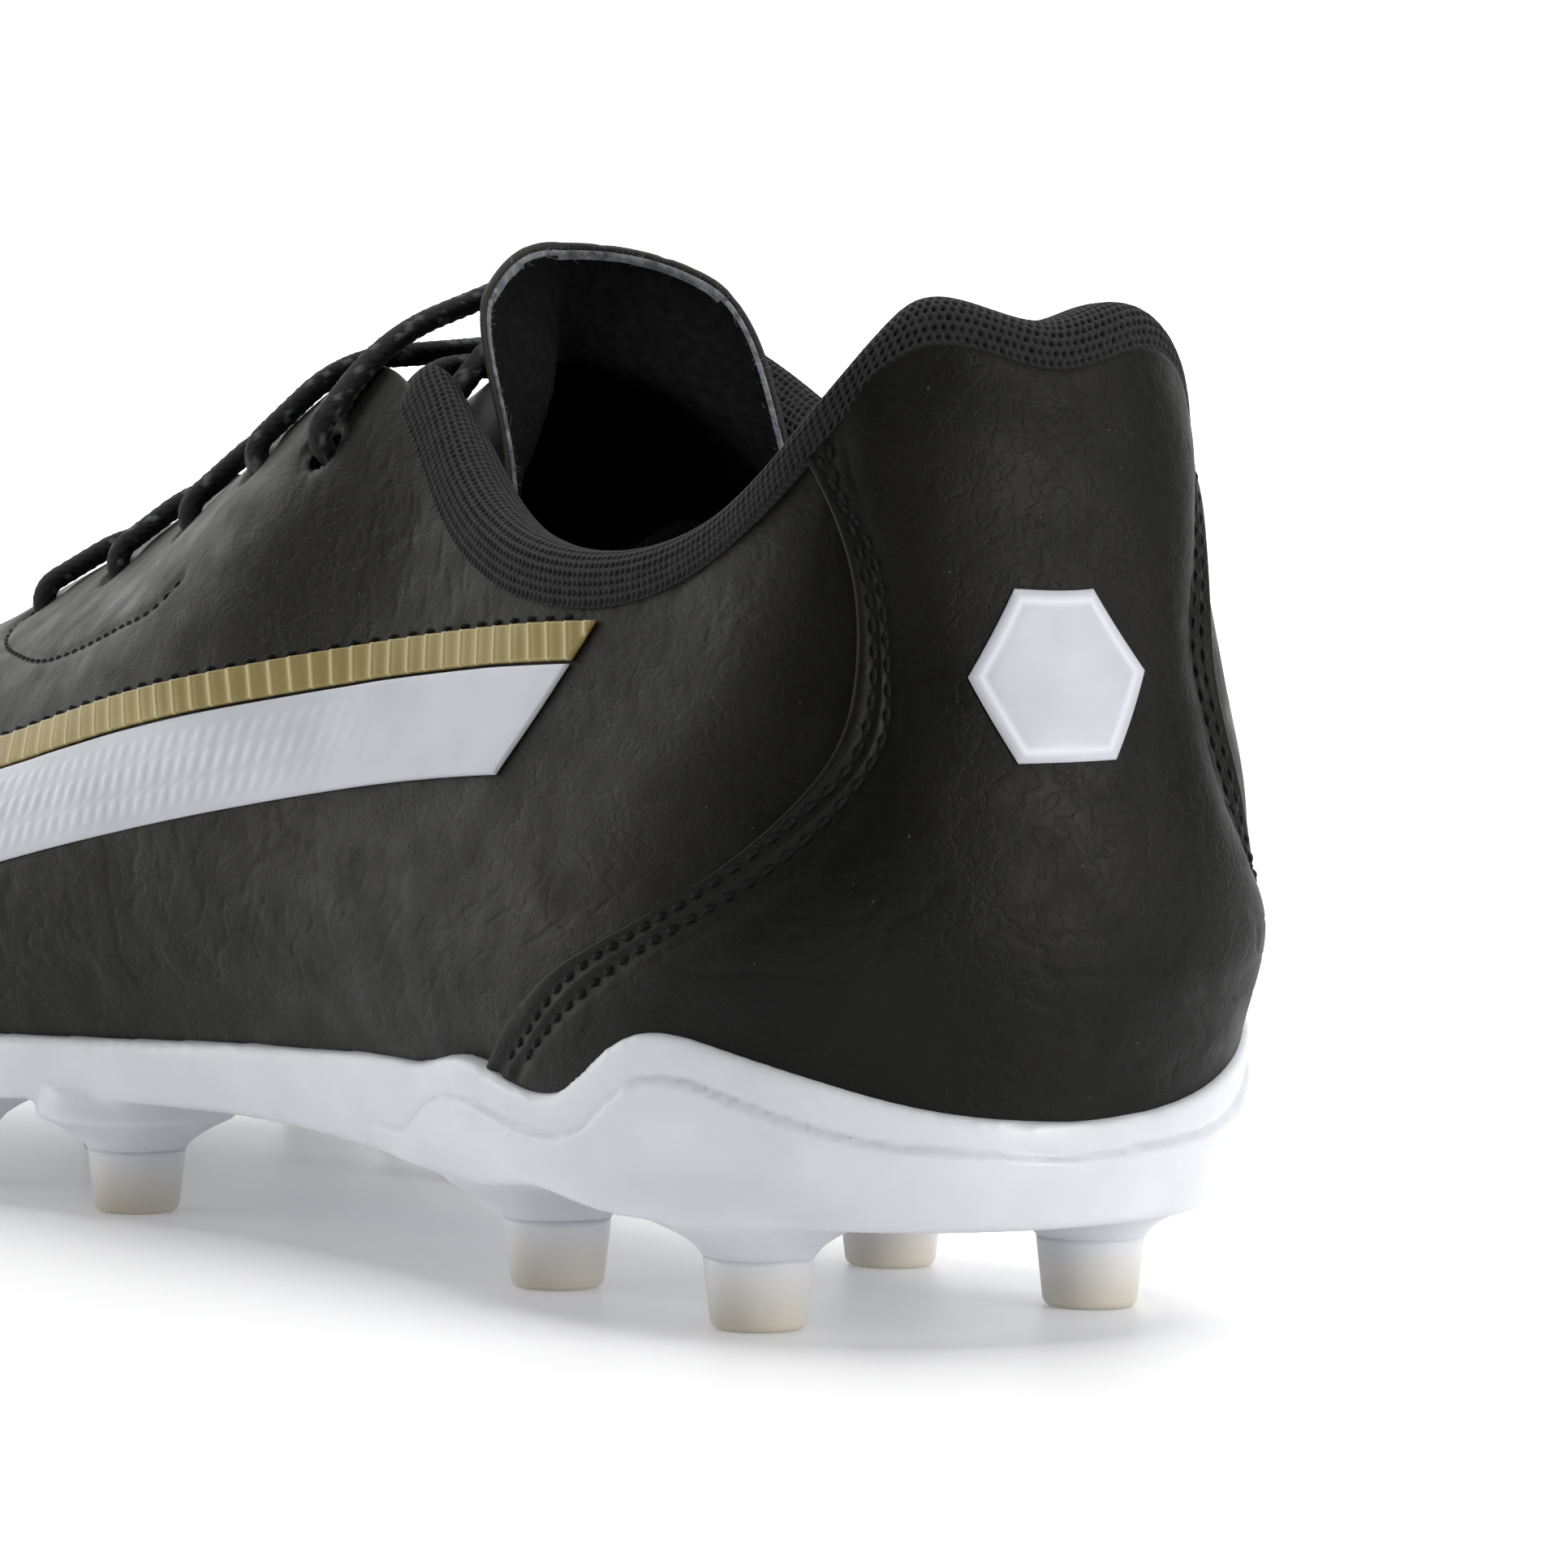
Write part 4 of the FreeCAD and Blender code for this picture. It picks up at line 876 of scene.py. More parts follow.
def make_emblem():
    """Plain six-sided film on the heel, laid over the padded leather."""
    middle = last.point(EMBLEM_Q, EMBLEM_LEVEL)
    out = last.normal(EMBLEM_Q, EMBLEM_LEVEL)
    side = unit(np.cross([0, 0, 1.0], out))
    up = np.cross(out, side)
    spokes, rings = 72, 16
    turn = np.linspace(0, 2 * math.pi, spokes, endpoint=False)
    reach = EMBLEM_RADIUS * math.cos(SIXTH / 2) / np.cos(np.mod(turn, SIXTH) - SIXTH / 2)
    ring = np.linspace(0.02, 1, rings)
    across = ring[:, None] * (reach * np.cos(turn))[None]
    rise = ring[:, None] * (reach * np.sin(turn))[None]
    # q and h steps for a move of one millimetre sideways and upwards.
    step = 1e-3
    per_q = (last.point(EMBLEM_Q + step, EMBLEM_LEVEL) - middle) / step
    per_h = (last.point(EMBLEM_Q, EMBLEM_LEVEL + step) - middle) / step
    plane = np.array([[per_q @ side, per_h @ side], [per_q @ up, per_h @ up]])
    moves = np.linalg.solve(plane, np.stack([across.ravel(), rise.ravel()]))
    q = (EMBLEM_Q + moves[0]).reshape(across.shape)
    h = (EMBLEM_LEVEL + moves[1]).reshape(across.shape)
    low = panel_outside(q, h) + 0.1
    edge = (1 - ring)[:, None] * reach[None]
    border = bell(edge, 1.1, 0.35)
    outer = last.offset(q, h, low + FILM - rounded(edge, 0.3) - EMBLEM_RIM * border)
    inner = last.offset(q, h, low)
    points = np.concatenate([outer, inner[::-1]]).reshape(-1, 3)
    # Painted highlight along the pressed line at the border.
    press_highlight = np.concatenate([border.ravel(), np.zeros(border.size)])
    mesh = build_mesh("heel_emblem_film", points, tube_faces(2 * rings, spokes), {"press_highlight": press_highlight})
    item = add_object("heel_emblem_film", mesh, LOOKS["white"], "boot")
    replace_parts(item, "heel_emblem")


# ------------------------------------------------------------------ quarters

EYELET_LEVEL = 0.685
LATERAL_EYELETS = (0.3, 0.272, 0.2455, 0.2215, 0.198)
MEDIAL_EYELETS = (-0.306, -0.28, -0.252, -0.2305, -0.2065)


def eyelet_centres(eyelets):
    return [last.point(q, EYELET_LEVEL) for q in eyelets]


def quarter_waves(q, h):
    """The quarter's soft waves, which the film laid on it follows."""
    points = last.point(q, h)
    return 0.2 * noise(points, (13.0, 13.0, 10.0), 21) + 0.05 * noise(points, (5.0, 5.0, 5.0), 23)


QUARTER_DRAWN = 0.38
EYELET_PULL = 0.3      # how far the lace pulls the leather in round an eyelet
SEAM_WELT = 0.5        # how far the quarters stand up along the vamp's seam


def quarter_outside(q, h, rows, eyelets):
    """Outer face of a quarter: soft waves, creases under the collar, drawn-in stitching."""
    points = last.point(q, h)
    collar = ease(h, 0.5, 0.74) * (1 - ease(from_heel(q), 0.19, 0.23))
    folds = 0.12 * creases(points, (2.4, 2.4, 9.0), 31) * collar
    flank = (1 - ease(h, 0.34, 0.46)) * ease(h, 0.1, 0.18)
    folds += 0.12 * creases(points, (4.0, 4.0, 3.2), 37) * flank
    relief = (quarter_waves(q, h) - folds) * above_bite(q, h)
    relief -= QUARTER_DRAWN * bell(distance_to_lines(points, rows), 0, 0.7)
    for centre in eyelet_centres(eyelets):
        gap = np.linalg.norm(points - centre, axis=-1)
        relief -= EYELET_PULL * bell(gap, EYELET_RADIUS, 1.6)
    return relief + SEAM_WELT * bell(distance_to_lines(points, seam_lines()), 0, 4.0)


def seam_lines():
    """The seams between the quarters and the vamp, where the quarters lie on top."""
    level = np.linspace(0.08, EDGE, 90)
    return [last.point(vamp_lateral(level), level), last.point(vamp_medial(level), level)]


def seam_stitch(seam, inset):
    level = np.linspace(0.13, 0.755, 9)
    return tuple((seam(value) + inset, value) for value in level)


def make_quarters():
    for side, start, end, eyelets, sign in (
        ("lateral", lambda h: panel_lateral(h) - PANEL_LAP, lambda h: vamp_lateral(h) - SEAM_GAP,
         LATERAL_EYELETS, 1),
        ("medial", lambda h: vamp_medial(h) + SEAM_GAP, lambda h: 1 + panel_medial(h) + PANEL_LAP,
         MEDIAL_EYELETS, -1),
    ):
        stay = EYESTAY_STITCH if sign > 0 else mirrored(EYESTAY_STITCH)
        seam = vamp_lateral if sign > 0 else vamp_medial
        routes = [stay, seam_stitch(seam, -sign * 0.003), seam_stitch(seam, -sign * 0.0058)]
        rows = [path_on_last(route)[0] for route in routes]
        grid = strip_grid(start, end, constant(TUCK), constant(TOP_LEVEL), 330, 150)
        outside = quarter_outside(*grid, rows, eyelets)
        sheet(f"quarter_leather_{side}", grid, outside, LEATHER_IN, LOOKS["quarter"],
              edge=0.7, edge_highlight_width=0.4, holes=eyelet_centres(eyelets),
              replaces=(f"quarter_{side}",))
        sewn = [path_on_last(route, lambda q, h: quarter_outside(q, h, rows, eyelets) + 0.05)
                for route in routes]
        stitches(f"quarter_stitches_{side}", sewn, 2.1, 1.6, 0.24)


# ------------------------------------------------------------------ vamp

TOE = 0.503
VAMP_STITCH_LEVELS = (0.3, 0.5, 0.7)


def vamp_line(level):
    """One stitched line round the forefoot at about one level, as (q, h)."""
    pairs = []
    for seam, parts in ((vamp_lateral, np.linspace(0.12, 1.0, 9)),
                        (vamp_medial, np.linspace(0.12, 0.96, 8)[::-1])):
        pairs += [(mix(float(seam(level)), TOE, part), level + 0.1 * math.sin(part * 3.1))
                  for part in parts]
    return tuple(pairs)


def vamp_outside(q, h, rows):
    points = last.point(q, np.minimum(h, RIDGE_ON))
    waves = 0.2 * noise(points, (14.0, 14.0, 9.0), 41) + 0.08 * noise(points, (5.0, 5.0, 4.0), 43)
    distance = distance_to_lines(points, rows)
    quilt = 0.45 * (1 - np.exp(-distance / 3.0)) - 0.35 * bell(distance, 0, 0.7) - 0.2
    folds = 0.14 * creases(points, (2.6, 9.0, 9.0), 47) * ease(h, 0.5, 0.9)
    under = 0.75 * np.exp(-distance_to_lines(points, seam_lines()) / 1.6)
    return (waves + quilt - folds) * above_bite(q, h) - under


def make_vamp():
    """The forefoot in one piece, from the seams round the toe; its two sides meet on the ridge."""
    along, across = 210, 111
    s = clustered(along)
    t = np.concatenate([np.linspace(0, 0.02, 4)[:-1], np.linspace(0.02, 1, across - 3)])
    level = mix(TUCK, 1.0, t)
    halves = []
    for seam, sign in ((vamp_lateral, 1), (vamp_medial, -1)):
        start = seam(np.minimum(level, EDGE)) + sign * SEAM_GAP
        halves.append(mix(start[None, :], TOE, s[:, None]))
    q = np.concatenate([halves[0], halves[1][:, -2::-1]], axis=1)
    h = np.minimum(np.broadcast_to(np.concatenate([level, level[-2::-1]]), q.shape), RIDGE_ON)
    rows = [path_on_last(vamp_line(level))[0] for level in VAMP_STITCH_LEVELS]
    outside = vamp_outside(q, h, rows)
    base = last.point(q, h)
    out = last.normal(q, h)
    drop = rounded(border_distance(base, ("start", "bottom", "top")), 0.6)
    middle = across - 1
    sheets = []
    for offset in (outside - drop, np.full(q.shape, LEATHER_IN)):
        points = base + out * offset[..., None]
        points[-1] = (points[-1] + points[-1][::-1]) / 2
        points[:, middle] = (points[:, middle - 1] + points[:, middle + 1]) / 2
        sheets.append(points)
    # Pale band along the seam's cut edge: partly the raw edge's own tone, partly a painted edge
    # highlight.
    edge_band = bell(border_distance(base, ("start",)), 0, 0.4).ravel()
    # The last row is folded onto itself at the toe, so no wall closes it.
    toe_row = range((along - 1) * q.shape[1], q.size)
    faces = [face for face in sheet_faces(*q.shape)
             if not (face[0] in toe_row and face[1] in toe_row and face[2] >= q.size)]
    points = np.concatenate([part.reshape(-1, 3) for part in sheets])
    mesh = build_mesh("vamp_leather", points, faces, {"raw_edge_and_highlight": np.concatenate([edge_band, edge_band])}, True)
    item = add_object("vamp_leather", mesh, LOOKS["vamp"], "boot")
    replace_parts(item, "vamp")
    sewn = [path_on_last(vamp_line(level), lambda a, b: vamp_outside(a, b, rows) + 0.05)
            for level in VAMP_STITCH_LEVELS]
    stitches("vamp_stitches", sewn, 2.4, 1.8, 0.24)


# ------------------------------------------------------------------ linings and sockliner

def foam_depth(q, h):
    share = 1 - ease(from_heel(q), 0.16, 0.195)
    return COLLAR_FOAM * share * ease(h, 0.5, 0.6)


def make_linings():
    for side, start, end, eyelets in (
        ("lateral", constant(0.0004), lambda h: vamp_lateral(h) - SEAM_GAP, LATERAL_EYELETS),
        ("medial", lambda h: vamp_medial(h) + SEAM_GAP, constant(0.9996), MEDIAL_EYELETS),
    ):
        grid = strip_grid(start, end, constant(TUCK), constant(TOP_LEVEL), 200, 90)
        q, h = grid
        points = last.point(q, h)
        depth = foam_depth(q, h)
        soft = 0.35 * noise(points, 9.0, 51) * ease(h, 0.1, 0.3)
        sheet(f"lining_{side}", grid, LINING_OUT - depth, LINING_IN - depth + 0.3 + soft,
              LOOKS["lining"], edge=0.2, holes=eyelet_centres(eyelets),
              replaces=(f"quarter_lining_{side}",))


def softened(name, node, voxel, passes, look, bend, extra=()):
    """A CAD node's mesh, remeshed so that its corners and joins are rounded, then bent."""
    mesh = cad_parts[node].data.copy()
    mesh.name = name
    mesh.materials.clear()
    item = new_object(name, mesh)
    joined = bmesh.new()
    joined.from_mesh(mesh)
    for part in extra:
        joined.from_mesh(part)
    joined.to_mesh(mesh)
    joined.free()
    remesh = item.modifiers.new("remesh", "REMESH")
    remesh.mode = "VOXEL"
    remesh.voxel_size = voxel * MM
    smooth = item.modifiers.new("smooth", "SMOOTH")
    smooth.iterations = passes
    smooth.factor = 0.5
    seen = item.evaluated_get(bpy.context.evaluated_depsgraph_get())
    mesh = bpy.data.meshes.new_from_object(seen)
    item.data = mesh
    item.modifiers.clear()
    points = np.zeros(len(mesh.vertices) * 3)
    normals = np.zeros(len(mesh.vertices) * 3)
    mesh.vertices.foreach_get("co", points)
    mesh.vertices.foreach_get("normal", normals)
    moved = bend(points.reshape(-1, 3) / MM, normals.reshape(-1, 3))
    mesh.vertices.foreach_set("co", (moved * MM).ravel())
    mesh.materials.clear()
    mesh.materials.append(LOOKS[look])
    mesh.polygons.foreach_set("use_smooth", np.ones(len(mesh.polygons), bool))
    mesh.update()
    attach(item, "boot")
    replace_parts(item, node)


def worn(points, normals):
    dish = 0.15 * noise(points, 14.0, 61) + 0.06 * noise(points, 3.0, 63)
    return points + normals * dish[:, None]


def make_sockliner():
    softened("sockliner_cloth_cover", "sockliner_cover", 0.45, 3,
             "lining", worn)


# ------------------------------------------------------------------ collar binding

BINDING_HEIGHT = 3.6
BINDING_END = 5.0      # how far each rounded end reaches
KNIT_PITCH = 0.9
KNIT_ROW = 0.85
KNIT_RELIEF = 0.42


def make_binding():
    """Knit tape folded over the collar's edge, with its loops as relief."""
    count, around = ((1700, 100))
    q = np.linspace(COLLAR_MEDIAL, COLLAR_LATERAL, count)
    h = np.full(count, EDGE)
    edge = last.point(q, h)
    out = last.normal(q, h)
    up = unit(last.point(q, h + 0.004) - edge)
    depth = LINING_IN - foam_depth(q, h) - 0.3
    outer_side = 0.5 + 1.0 * (1 - ease(np.abs(q), 0.05, 0.08))
    middle = (outer_side + depth) / 2
    half = (outer_side - depth) / 2
    run = run_along(edge)
    turn = np.linspace(-0.32, math.pi + 0.32, around)
    round_x = np.sign(np.cos(turn)) * np.abs(np.cos(turn)) ** 0.8
    round_z = np.where(np.sin(turn) > 0, np.abs(np.sin(turn)) ** 0.75, np.sin(turn) * 2.4)
    plump = BINDING_HEIGHT * (1.0 + 0.03 * noise(edge, 7.0, 71))
    ends = np.clip(np.minimum(run, run[-1] - run) / BINDING_END, 0, 1)
    cap = np.sqrt(np.maximum(1 - (1 - ends) ** 2, 0.0004))
    side_part = middle[:, None] + (half * cap)[:, None] * round_x[None]
    rise = 0.25 + (plump * cap)[:, None] * round_z[None]
    points = edge[:, None] + out[:, None] * side_part[..., None] + up[:, None] * rise[..., None]
    face = unit(np.cross(np.gradient(points, axis=0), np.gradient(points, axis=1)))
    centre = edge + out * middle[:, None] + up * 0.3
    face *= np.sign(np.sum(face * (points - centre[:, None]), axis=-1, keepdims=True))
    # Open loops in staggered rows: a small hole in the middle of each cell of yarn.
    column = run_along(points.swapaxes(0, 1)).T / KNIT_PITCH
    along = run[:, None] / KNIT_ROW + 0.5 * np.floor(column) + 0.16 * noise(points, 1.6, 75)
    off_row = np.mod(along, 1) - 0.5
    off_column = np.mod(column, 1) - 0.5
    cell = random_cells(np.stack([np.floor(along), np.floor(column)], -1), 73)
    hole = bell(off_row, 0, 0.27) * bell(off_column, 0, 0.3) * (0.7 + 0.5 * cell)
    # The loop value is also the painted shade: the tape's material colours the holes near black.
    loop_and_shade = np.clip(1 - hole, 0, 1)
    points = points + face * (KNIT_RELIEF * (loop_and_shade - 0.8))[..., None]
    mesh = build_mesh("collar_knit", points.reshape(-1, 3), tube_faces(count, around),
                      {"loop_and_shade": loop_and_shade})
    item = add_object("collar_knit", mesh, LOOKS["knit"], "boot")
    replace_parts(item, "collar_binding")


# ------------------------------------------------------------------ tongue

TONGUE_BASE = (0.345, -0.352)
TONGUE_TOP = (0.186, -0.194)
TONGUE_EDGE = (0.15, -0.136)
TONGUE_DEPTH = 9.7
TONGUE_LEATHER = 0.9
TONGUE_FELT = 2.3      # depth of the felt's inner face, under the leather's
FELT_EDGE = 0.85       # the same at its cut edge
tongue_wing = profile((0.0, 0.7), (0.3, 0.64), (0.6, 0.62), (0.85, 0.66), (1.0, 0.72))


def tongue_points(along, across, under):
    """along: 0 at the vamp, 1 at the top. across: -1 lateral wing, 0 ridge, 1 medial wing."""
    wing = np.abs(across)
    h = mix(RIDGE_ON, tongue_wing(along), wing)
    lateral = across < 0
    base = np.where(lateral, TONGUE_BASE[0], TONGUE_BASE[1])
    end = mix(np.where(lateral, TONGUE_TOP[0], TONGUE_TOP[1]),
              np.where(lateral, TONGUE_EDGE[0], TONGUE_EDGE[1]), wing ** 1.6)
    q = mix(base, end, along)
    top = ease(along, 0.95, 1.0)
    spread = (wing - mix(0.1, 0.42, top)) / mix(0.35, 0.44, top)
    crown = 1 - ease(spread, 0.0, 1.0)
    middle = mix(0.02, 0.16, ease(along, 0.8, 0.95))
    rise = mix(middle, 1.06, top) * crown + 0.06 * top * (1 - crown)
    return last.offset(q, h, -TONGUE_DEPTH * (1 - rise) - under)


def make_tongue():
    rows, columns = 150, 121
    t, w = np.meshgrid(clustered(rows, 0.015), clustered(columns, 0.02) * 2 - 1, indexing="ij")
    faces = sheet_faces(rows, columns)
    base = tongue_points(t, w, 0 * t)
    distance = border_distance(base)
    waves = 0.14 * noise(base, (8.0, 8.0, 6.0), 81) + 0.12 * creases(base, (3.0, 9.0, 3.0), 83)
    # Pale band along the cut edges: partly the raw edge's own tone, partly a painted edge highlight;
    # it also marks the felt's cut edge.
    edge_band = np.tile(bell(distance, 0, 0.35).ravel(), 2)
    fuzz = 0.16 * noise(base, 0.9, 87) + 0.12 * noise(base, 2.5, 89)
    pieces = (
        ("tongue_leather_face", waves + rounded(distance, 0.45), TONGUE_LEATHER + 0 * t,
         LOOKS["tongue"], "tongue_leather"),
        ("tongue_felt_back", TONGUE_LEATHER + 0.05 + rounded(distance, 0.2),
         TONGUE_LEATHER + mix(FELT_EDGE, TONGUE_FELT, ease(distance, 0.5, 9.0))
         - rounded(distance, 0.4) + fuzz * ease(distance, 0.0, 1.0), LOOKS["felt"],
         "tongue_felt"),
    )
    for name, outside, inside, look, slot in pieces:
        points = np.concatenate([tongue_points(t, w, outside).reshape(-1, 3),
                                 tongue_points(t, w, inside).reshape(-1, 3)])
        mesh = build_mesh(name, points, faces, {"raw_edge_and_highlight": edge_band}, weld=True)
        item = add_object(name, mesh, look, None)
        if slot == "tongue_felt":
            mesh.materials.append(LOOKS["felt_edge"])
            mark_felt_edge(mesh)
        bend_tongue(item)
        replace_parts(item, slot)
    make_fibres()


def bend_tongue(item):
    """Bakes the tongue piece's transform into its mesh."""
    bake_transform(item)


def mark_felt_edge(mesh):
    """The cut edge of the felt is paler than its brushed face."""
    edge_band = mesh.attributes["raw_edge_and_highlight"].data
    for face in mesh.polygons:
        share = sum(edge_band[i].value for i in face.vertices) / len(face.vertices)
        face.material_index = 1 if share > 0.55 else 0


FIBRE = 0.045      # a fibre's half thickness
FIBRE_COUNT = 5200


def make_fibres():
    """Short loose fibres along the felt's cut edge."""
    rng = np.random.default_rng(5)
    count = FIBRE_COUNT
    part = rng.random(count)
    side = rng.choice([-1, 0, 1], count, p=[0.38, 0.26, 0.36])
    t = np.where(side == 0, 0.996, 0.35 + 0.65 * part ** 0.8)
    w = np.where(side == 0, part * 2 - 1, side * 0.995)
    deep = TONGUE_LEATHER + 0.15 + rng.random(count) * 0.6
    root = tongue_points(t, w, deep)
    inner = tongue_points(np.where(side == 0, t - 0.02, t), np.where(side == 0, w, w * 0.97), deep)
    way = unit(unit(root - inner) + rng.normal(0, 0.75, (count, 3)))
    bend = rng.normal(0, 0.5, (count, 3))
    length = rng.uniform(0.35, 1.0, count)[:, None]
    spans = np.linspace(0, 1, 4)
    centres = np.stack([root + way * length * s + bend * length * 0.5 * s * s for s in spans], 1)
    across = unit(np.cross(way, rng.normal(0, 1, (count, 3))))
    other = np.cross(way, across)
    corners = [across * math.cos(turn) + other * math.sin(turn)
               for turn in np.linspace(0, 2 * math.pi, 3, endpoint=False)]
    thick = FIBRE * (1 - 0.6 * spans)
    ring = centres[:, :, None] + np.stack(corners, 1)[:, None] * thick[None, :, None, None]
    mesh = build_mesh("tongue_felt_fibres", ring.reshape(-1, 3),
                      repeated(tube_faces(len(spans), 3), 3 * len(spans), count))
    item = add_object("tongue_felt_fibres", mesh, LOOKS["felt_edge"], None)
    bend_tongue(item)


# ------------------------------------------------------------------ side bands

band_line = profile((30, 65.9), (60, 64.4), (90, 60.8), (120, 55.8), (150, 49.5), (185, 41.0))
BAND_ENDS = (0.0985, 0.284)
BAND_SLANT = 0.006
GOLD_DROPS = (0.0, 3.8)
WHITE_DROPS = (4.1, 14.5)
GOLD_PITCH = 3.1
WHITE_PITCH = 2.3
WHITE_ROWS = ((0.24, 0.1, 0.6), (0.5, 0.12, 1.0), (0.78, 0.1, 0.8))


def band_level(q, drop):
    """Height parameter at which the band's line, lowered by drop, crosses the last at q."""
    low = np.full(q.shape, 0.15)
    high = np.full(q.shape, 0.77)
    for _ in range(22):
        middle = (low + high) / 2
        here = last.point(q, middle)
        above = here[..., 2] > band_line(HEEL_REACH - here[..., 0]) - drop
        high = np.where(above, middle, high)
        low = np.where(above, low, middle)
    return (low + high) / 2


def make_band(name, medial, drops, look, relief, replaced):
    """One strip of film, laid on the quarter between two drops below the band's line."""
    along = 560
    s, t = np.meshgrid(clustered(along, 0.006), clustered(30, 0.1), indexing="ij")
    drop = mix(drops[1], drops[0], t)
    around = mix(BAND_ENDS[0], BAND_ENDS[1], s) + BAND_SLANT * drop / 10
    q = 1 - around if medial else around
    h = band_level(q, drop)
    base = last.point(q, h)
    height, press_highlight = relief(run_along(base), drop)
    out = last.normal(q, h)
    lift = PANEL_LOW + quarter_waves(q, h)
    outer = base + out * (lift + FILM + height - rounded(border_distance(base), 0.3))[..., None]
    inner = base + out * (lift - 0.05)[..., None]
    points = np.concatenate([outer.reshape(-1, 3), inner.reshape(-1, 3)])
    # Painted highlight along the pressed lines and ribs.
    values = {"press_highlight": np.concatenate([press_highlight.ravel(), np.zeros(press_highlight.size)])}
    mesh = build_mesh(name, points, sheet_faces(*q.shape), values)
    item = add_object(name, mesh, LOOKS[look], "boot")
    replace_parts(item, replaced)


def gold_relief(run, drop):
    """Pressed lines across the gold strip, slanted towards the toe, and the painted highlight along
    them.
    """
    line = np.mod(run + 1.1 * drop, GOLD_PITCH) / GOLD_PITCH
    ridge = bell(line, 0.5, 0.07)
    return 0.16 * ridge + 0.05 * np.sin(2 * math.pi * line), ridge


def white_relief(run, drop):
    """Three rows of short pressed ribs along the white strip, stronger towards the toe, and the
    painted highlight on them.
    """
    level = (drop - WHITE_DROPS[0]) / (WHITE_DROPS[1] - WHITE_DROPS[0])
    rows = np.zeros(run.shape)
    for middle, width, share in WHITE_ROWS:
        rows += share * np.clip(1 - ((level - middle) / width) ** 2, 0, 1) ** 0.5
    rib = 0.5 + 0.5 * np.cos(2 * math.pi * (run + 0.5 * drop) / WHITE_PITCH)
    pressed = rows * rib * ease(run, 18.0, 75.0)
    return 0.24 * pressed, 0.6 * pressed


def make_bands():
    for side, medial in (("lateral", False), ("medial", True)):
        make_band(f"band_gold_{side}", medial, GOLD_DROPS, "gold", gold_relief,
                  f"side_band_ribbed_{side}")
        make_band(f"band_white_{side}", medial, WHITE_DROPS, "white", white_relief,
                  f"side_band_plain_{side}")
        around = np.linspace(BAND_ENDS[0] + 0.006, BAND_ENDS[1] - 0.002, 24)
        q = 1 - around if medial else around
        pairs = list(zip(q, band_level(q, np.full(q.shape, -0.45))))
        line = path_on_last(pairs, lambda a, b: quarter_waves(a, b) + 0.12)
        stitches(f"band_stitches_{side}", [line], 3.1, 1.5, 0.26)


# ------------------------------------------------------------------ lace

LACE_UNDER = -5.0
LACE_OVER = 1.5
LACE_EDGE = -4.7
CROSSING_HEIGHT = 0.93
CROSSING_SHARES = (0.22, 0.42, 0.58, 0.72)
UPPER_CROSSING = (-4.5, -4.5)
LOWER_CROSSING = (-7.2, -7.2)
TOP_HEIGHT = 0.968
TOP_SHARES = (-0.05, 0.16, 0.54, 1.0)
UPPER_TOP = (-1.8, -0.6)
LOWER_TOP = (-4.8, -4.25)
TOP_CROSSING = {1: 0.1887, -1: -0.196}
TUCKED_RUN = ((0.187, 0.72), (0.189, 0.65), (0.197, 0.605), (0.213, 0.59), (0.234, 0.59),
              (0.256, 0.59))
TUCKED_LEVEL = LACE_UNDER - 0.8
MEDIAL_TUCK_SHIFT = 0.008
LACE_HALF_WIDTH = 1.75
LACE_HALF_THICKNESS = 1.15
LACE_SIDES = 24
BRAID_PITCH = 1.25
BRAID_CELLS = 8        # cells of the braid round the lace
BRAID_RELIEF = 0.2
FLECK_ABOVE = 0.9      # the share of cells without a pale fleck


def lace_route():
    """The lace's points and, at each, the way its flat side's width lies."""
    route = []

    def add(q, h, out):
        route.append((last.offset(q, h, out), last.along(q, h), last.normal(q, h)))

    eyelets = [{1: a, -1: b} for a, b in zip(LATERAL_EYELETS, MEDIAL_EYELETS)]
    strands = []
    for first in (1, -1):
        side = first
        route = []
        for index, here in enumerate(eyelets):
            final = index == len(eyelets) - 1
            ahead = TOP_CROSSING if final else eyelets[index + 1]
            upper = (index % 2 == 0) == (first == 1)
            if final:
                shares, height, landing = TOP_SHARES, TOP_HEIGHT, TUCKED_LEVEL
                levels = UPPER_TOP if upper else LOWER_TOP
            else:
                shares, height, landing = CROSSING_SHARES, CROSSING_HEIGHT, LACE_EDGE
                levels = UPPER_CROSSING if upper else LOWER_CROSSING
            add(here[side], EYELET_LEVEL, LACE_UNDER)
            add(here[side], EYELET_LEVEL, LACE_OVER)
            add(mix(here[side], ahead[side], shares[0]), 0.8, LACE_OVER)
            add(mix(here[side], ahead[side], shares[1]), height, levels[0])
            add(mix(here[-side], ahead[-side], shares[2]), height, levels[1])
            add(mix(here[-side], ahead[-side], shares[3]), 0.83, landing)
            side = -side
        for around, height in TUCKED_RUN:
            shift = 0.0 if side > 0 else MEDIAL_TUCK_SHIFT
            add(side * (around + shift), height, TUCKED_LEVEL)
        strands.append(route)
    route = []
    add(mix(eyelets[0][1], TONGUE_BASE[0], 0.1), RIDGE_ON, -3.2)
    return list(reversed(strands[1])) + route + strands[0]


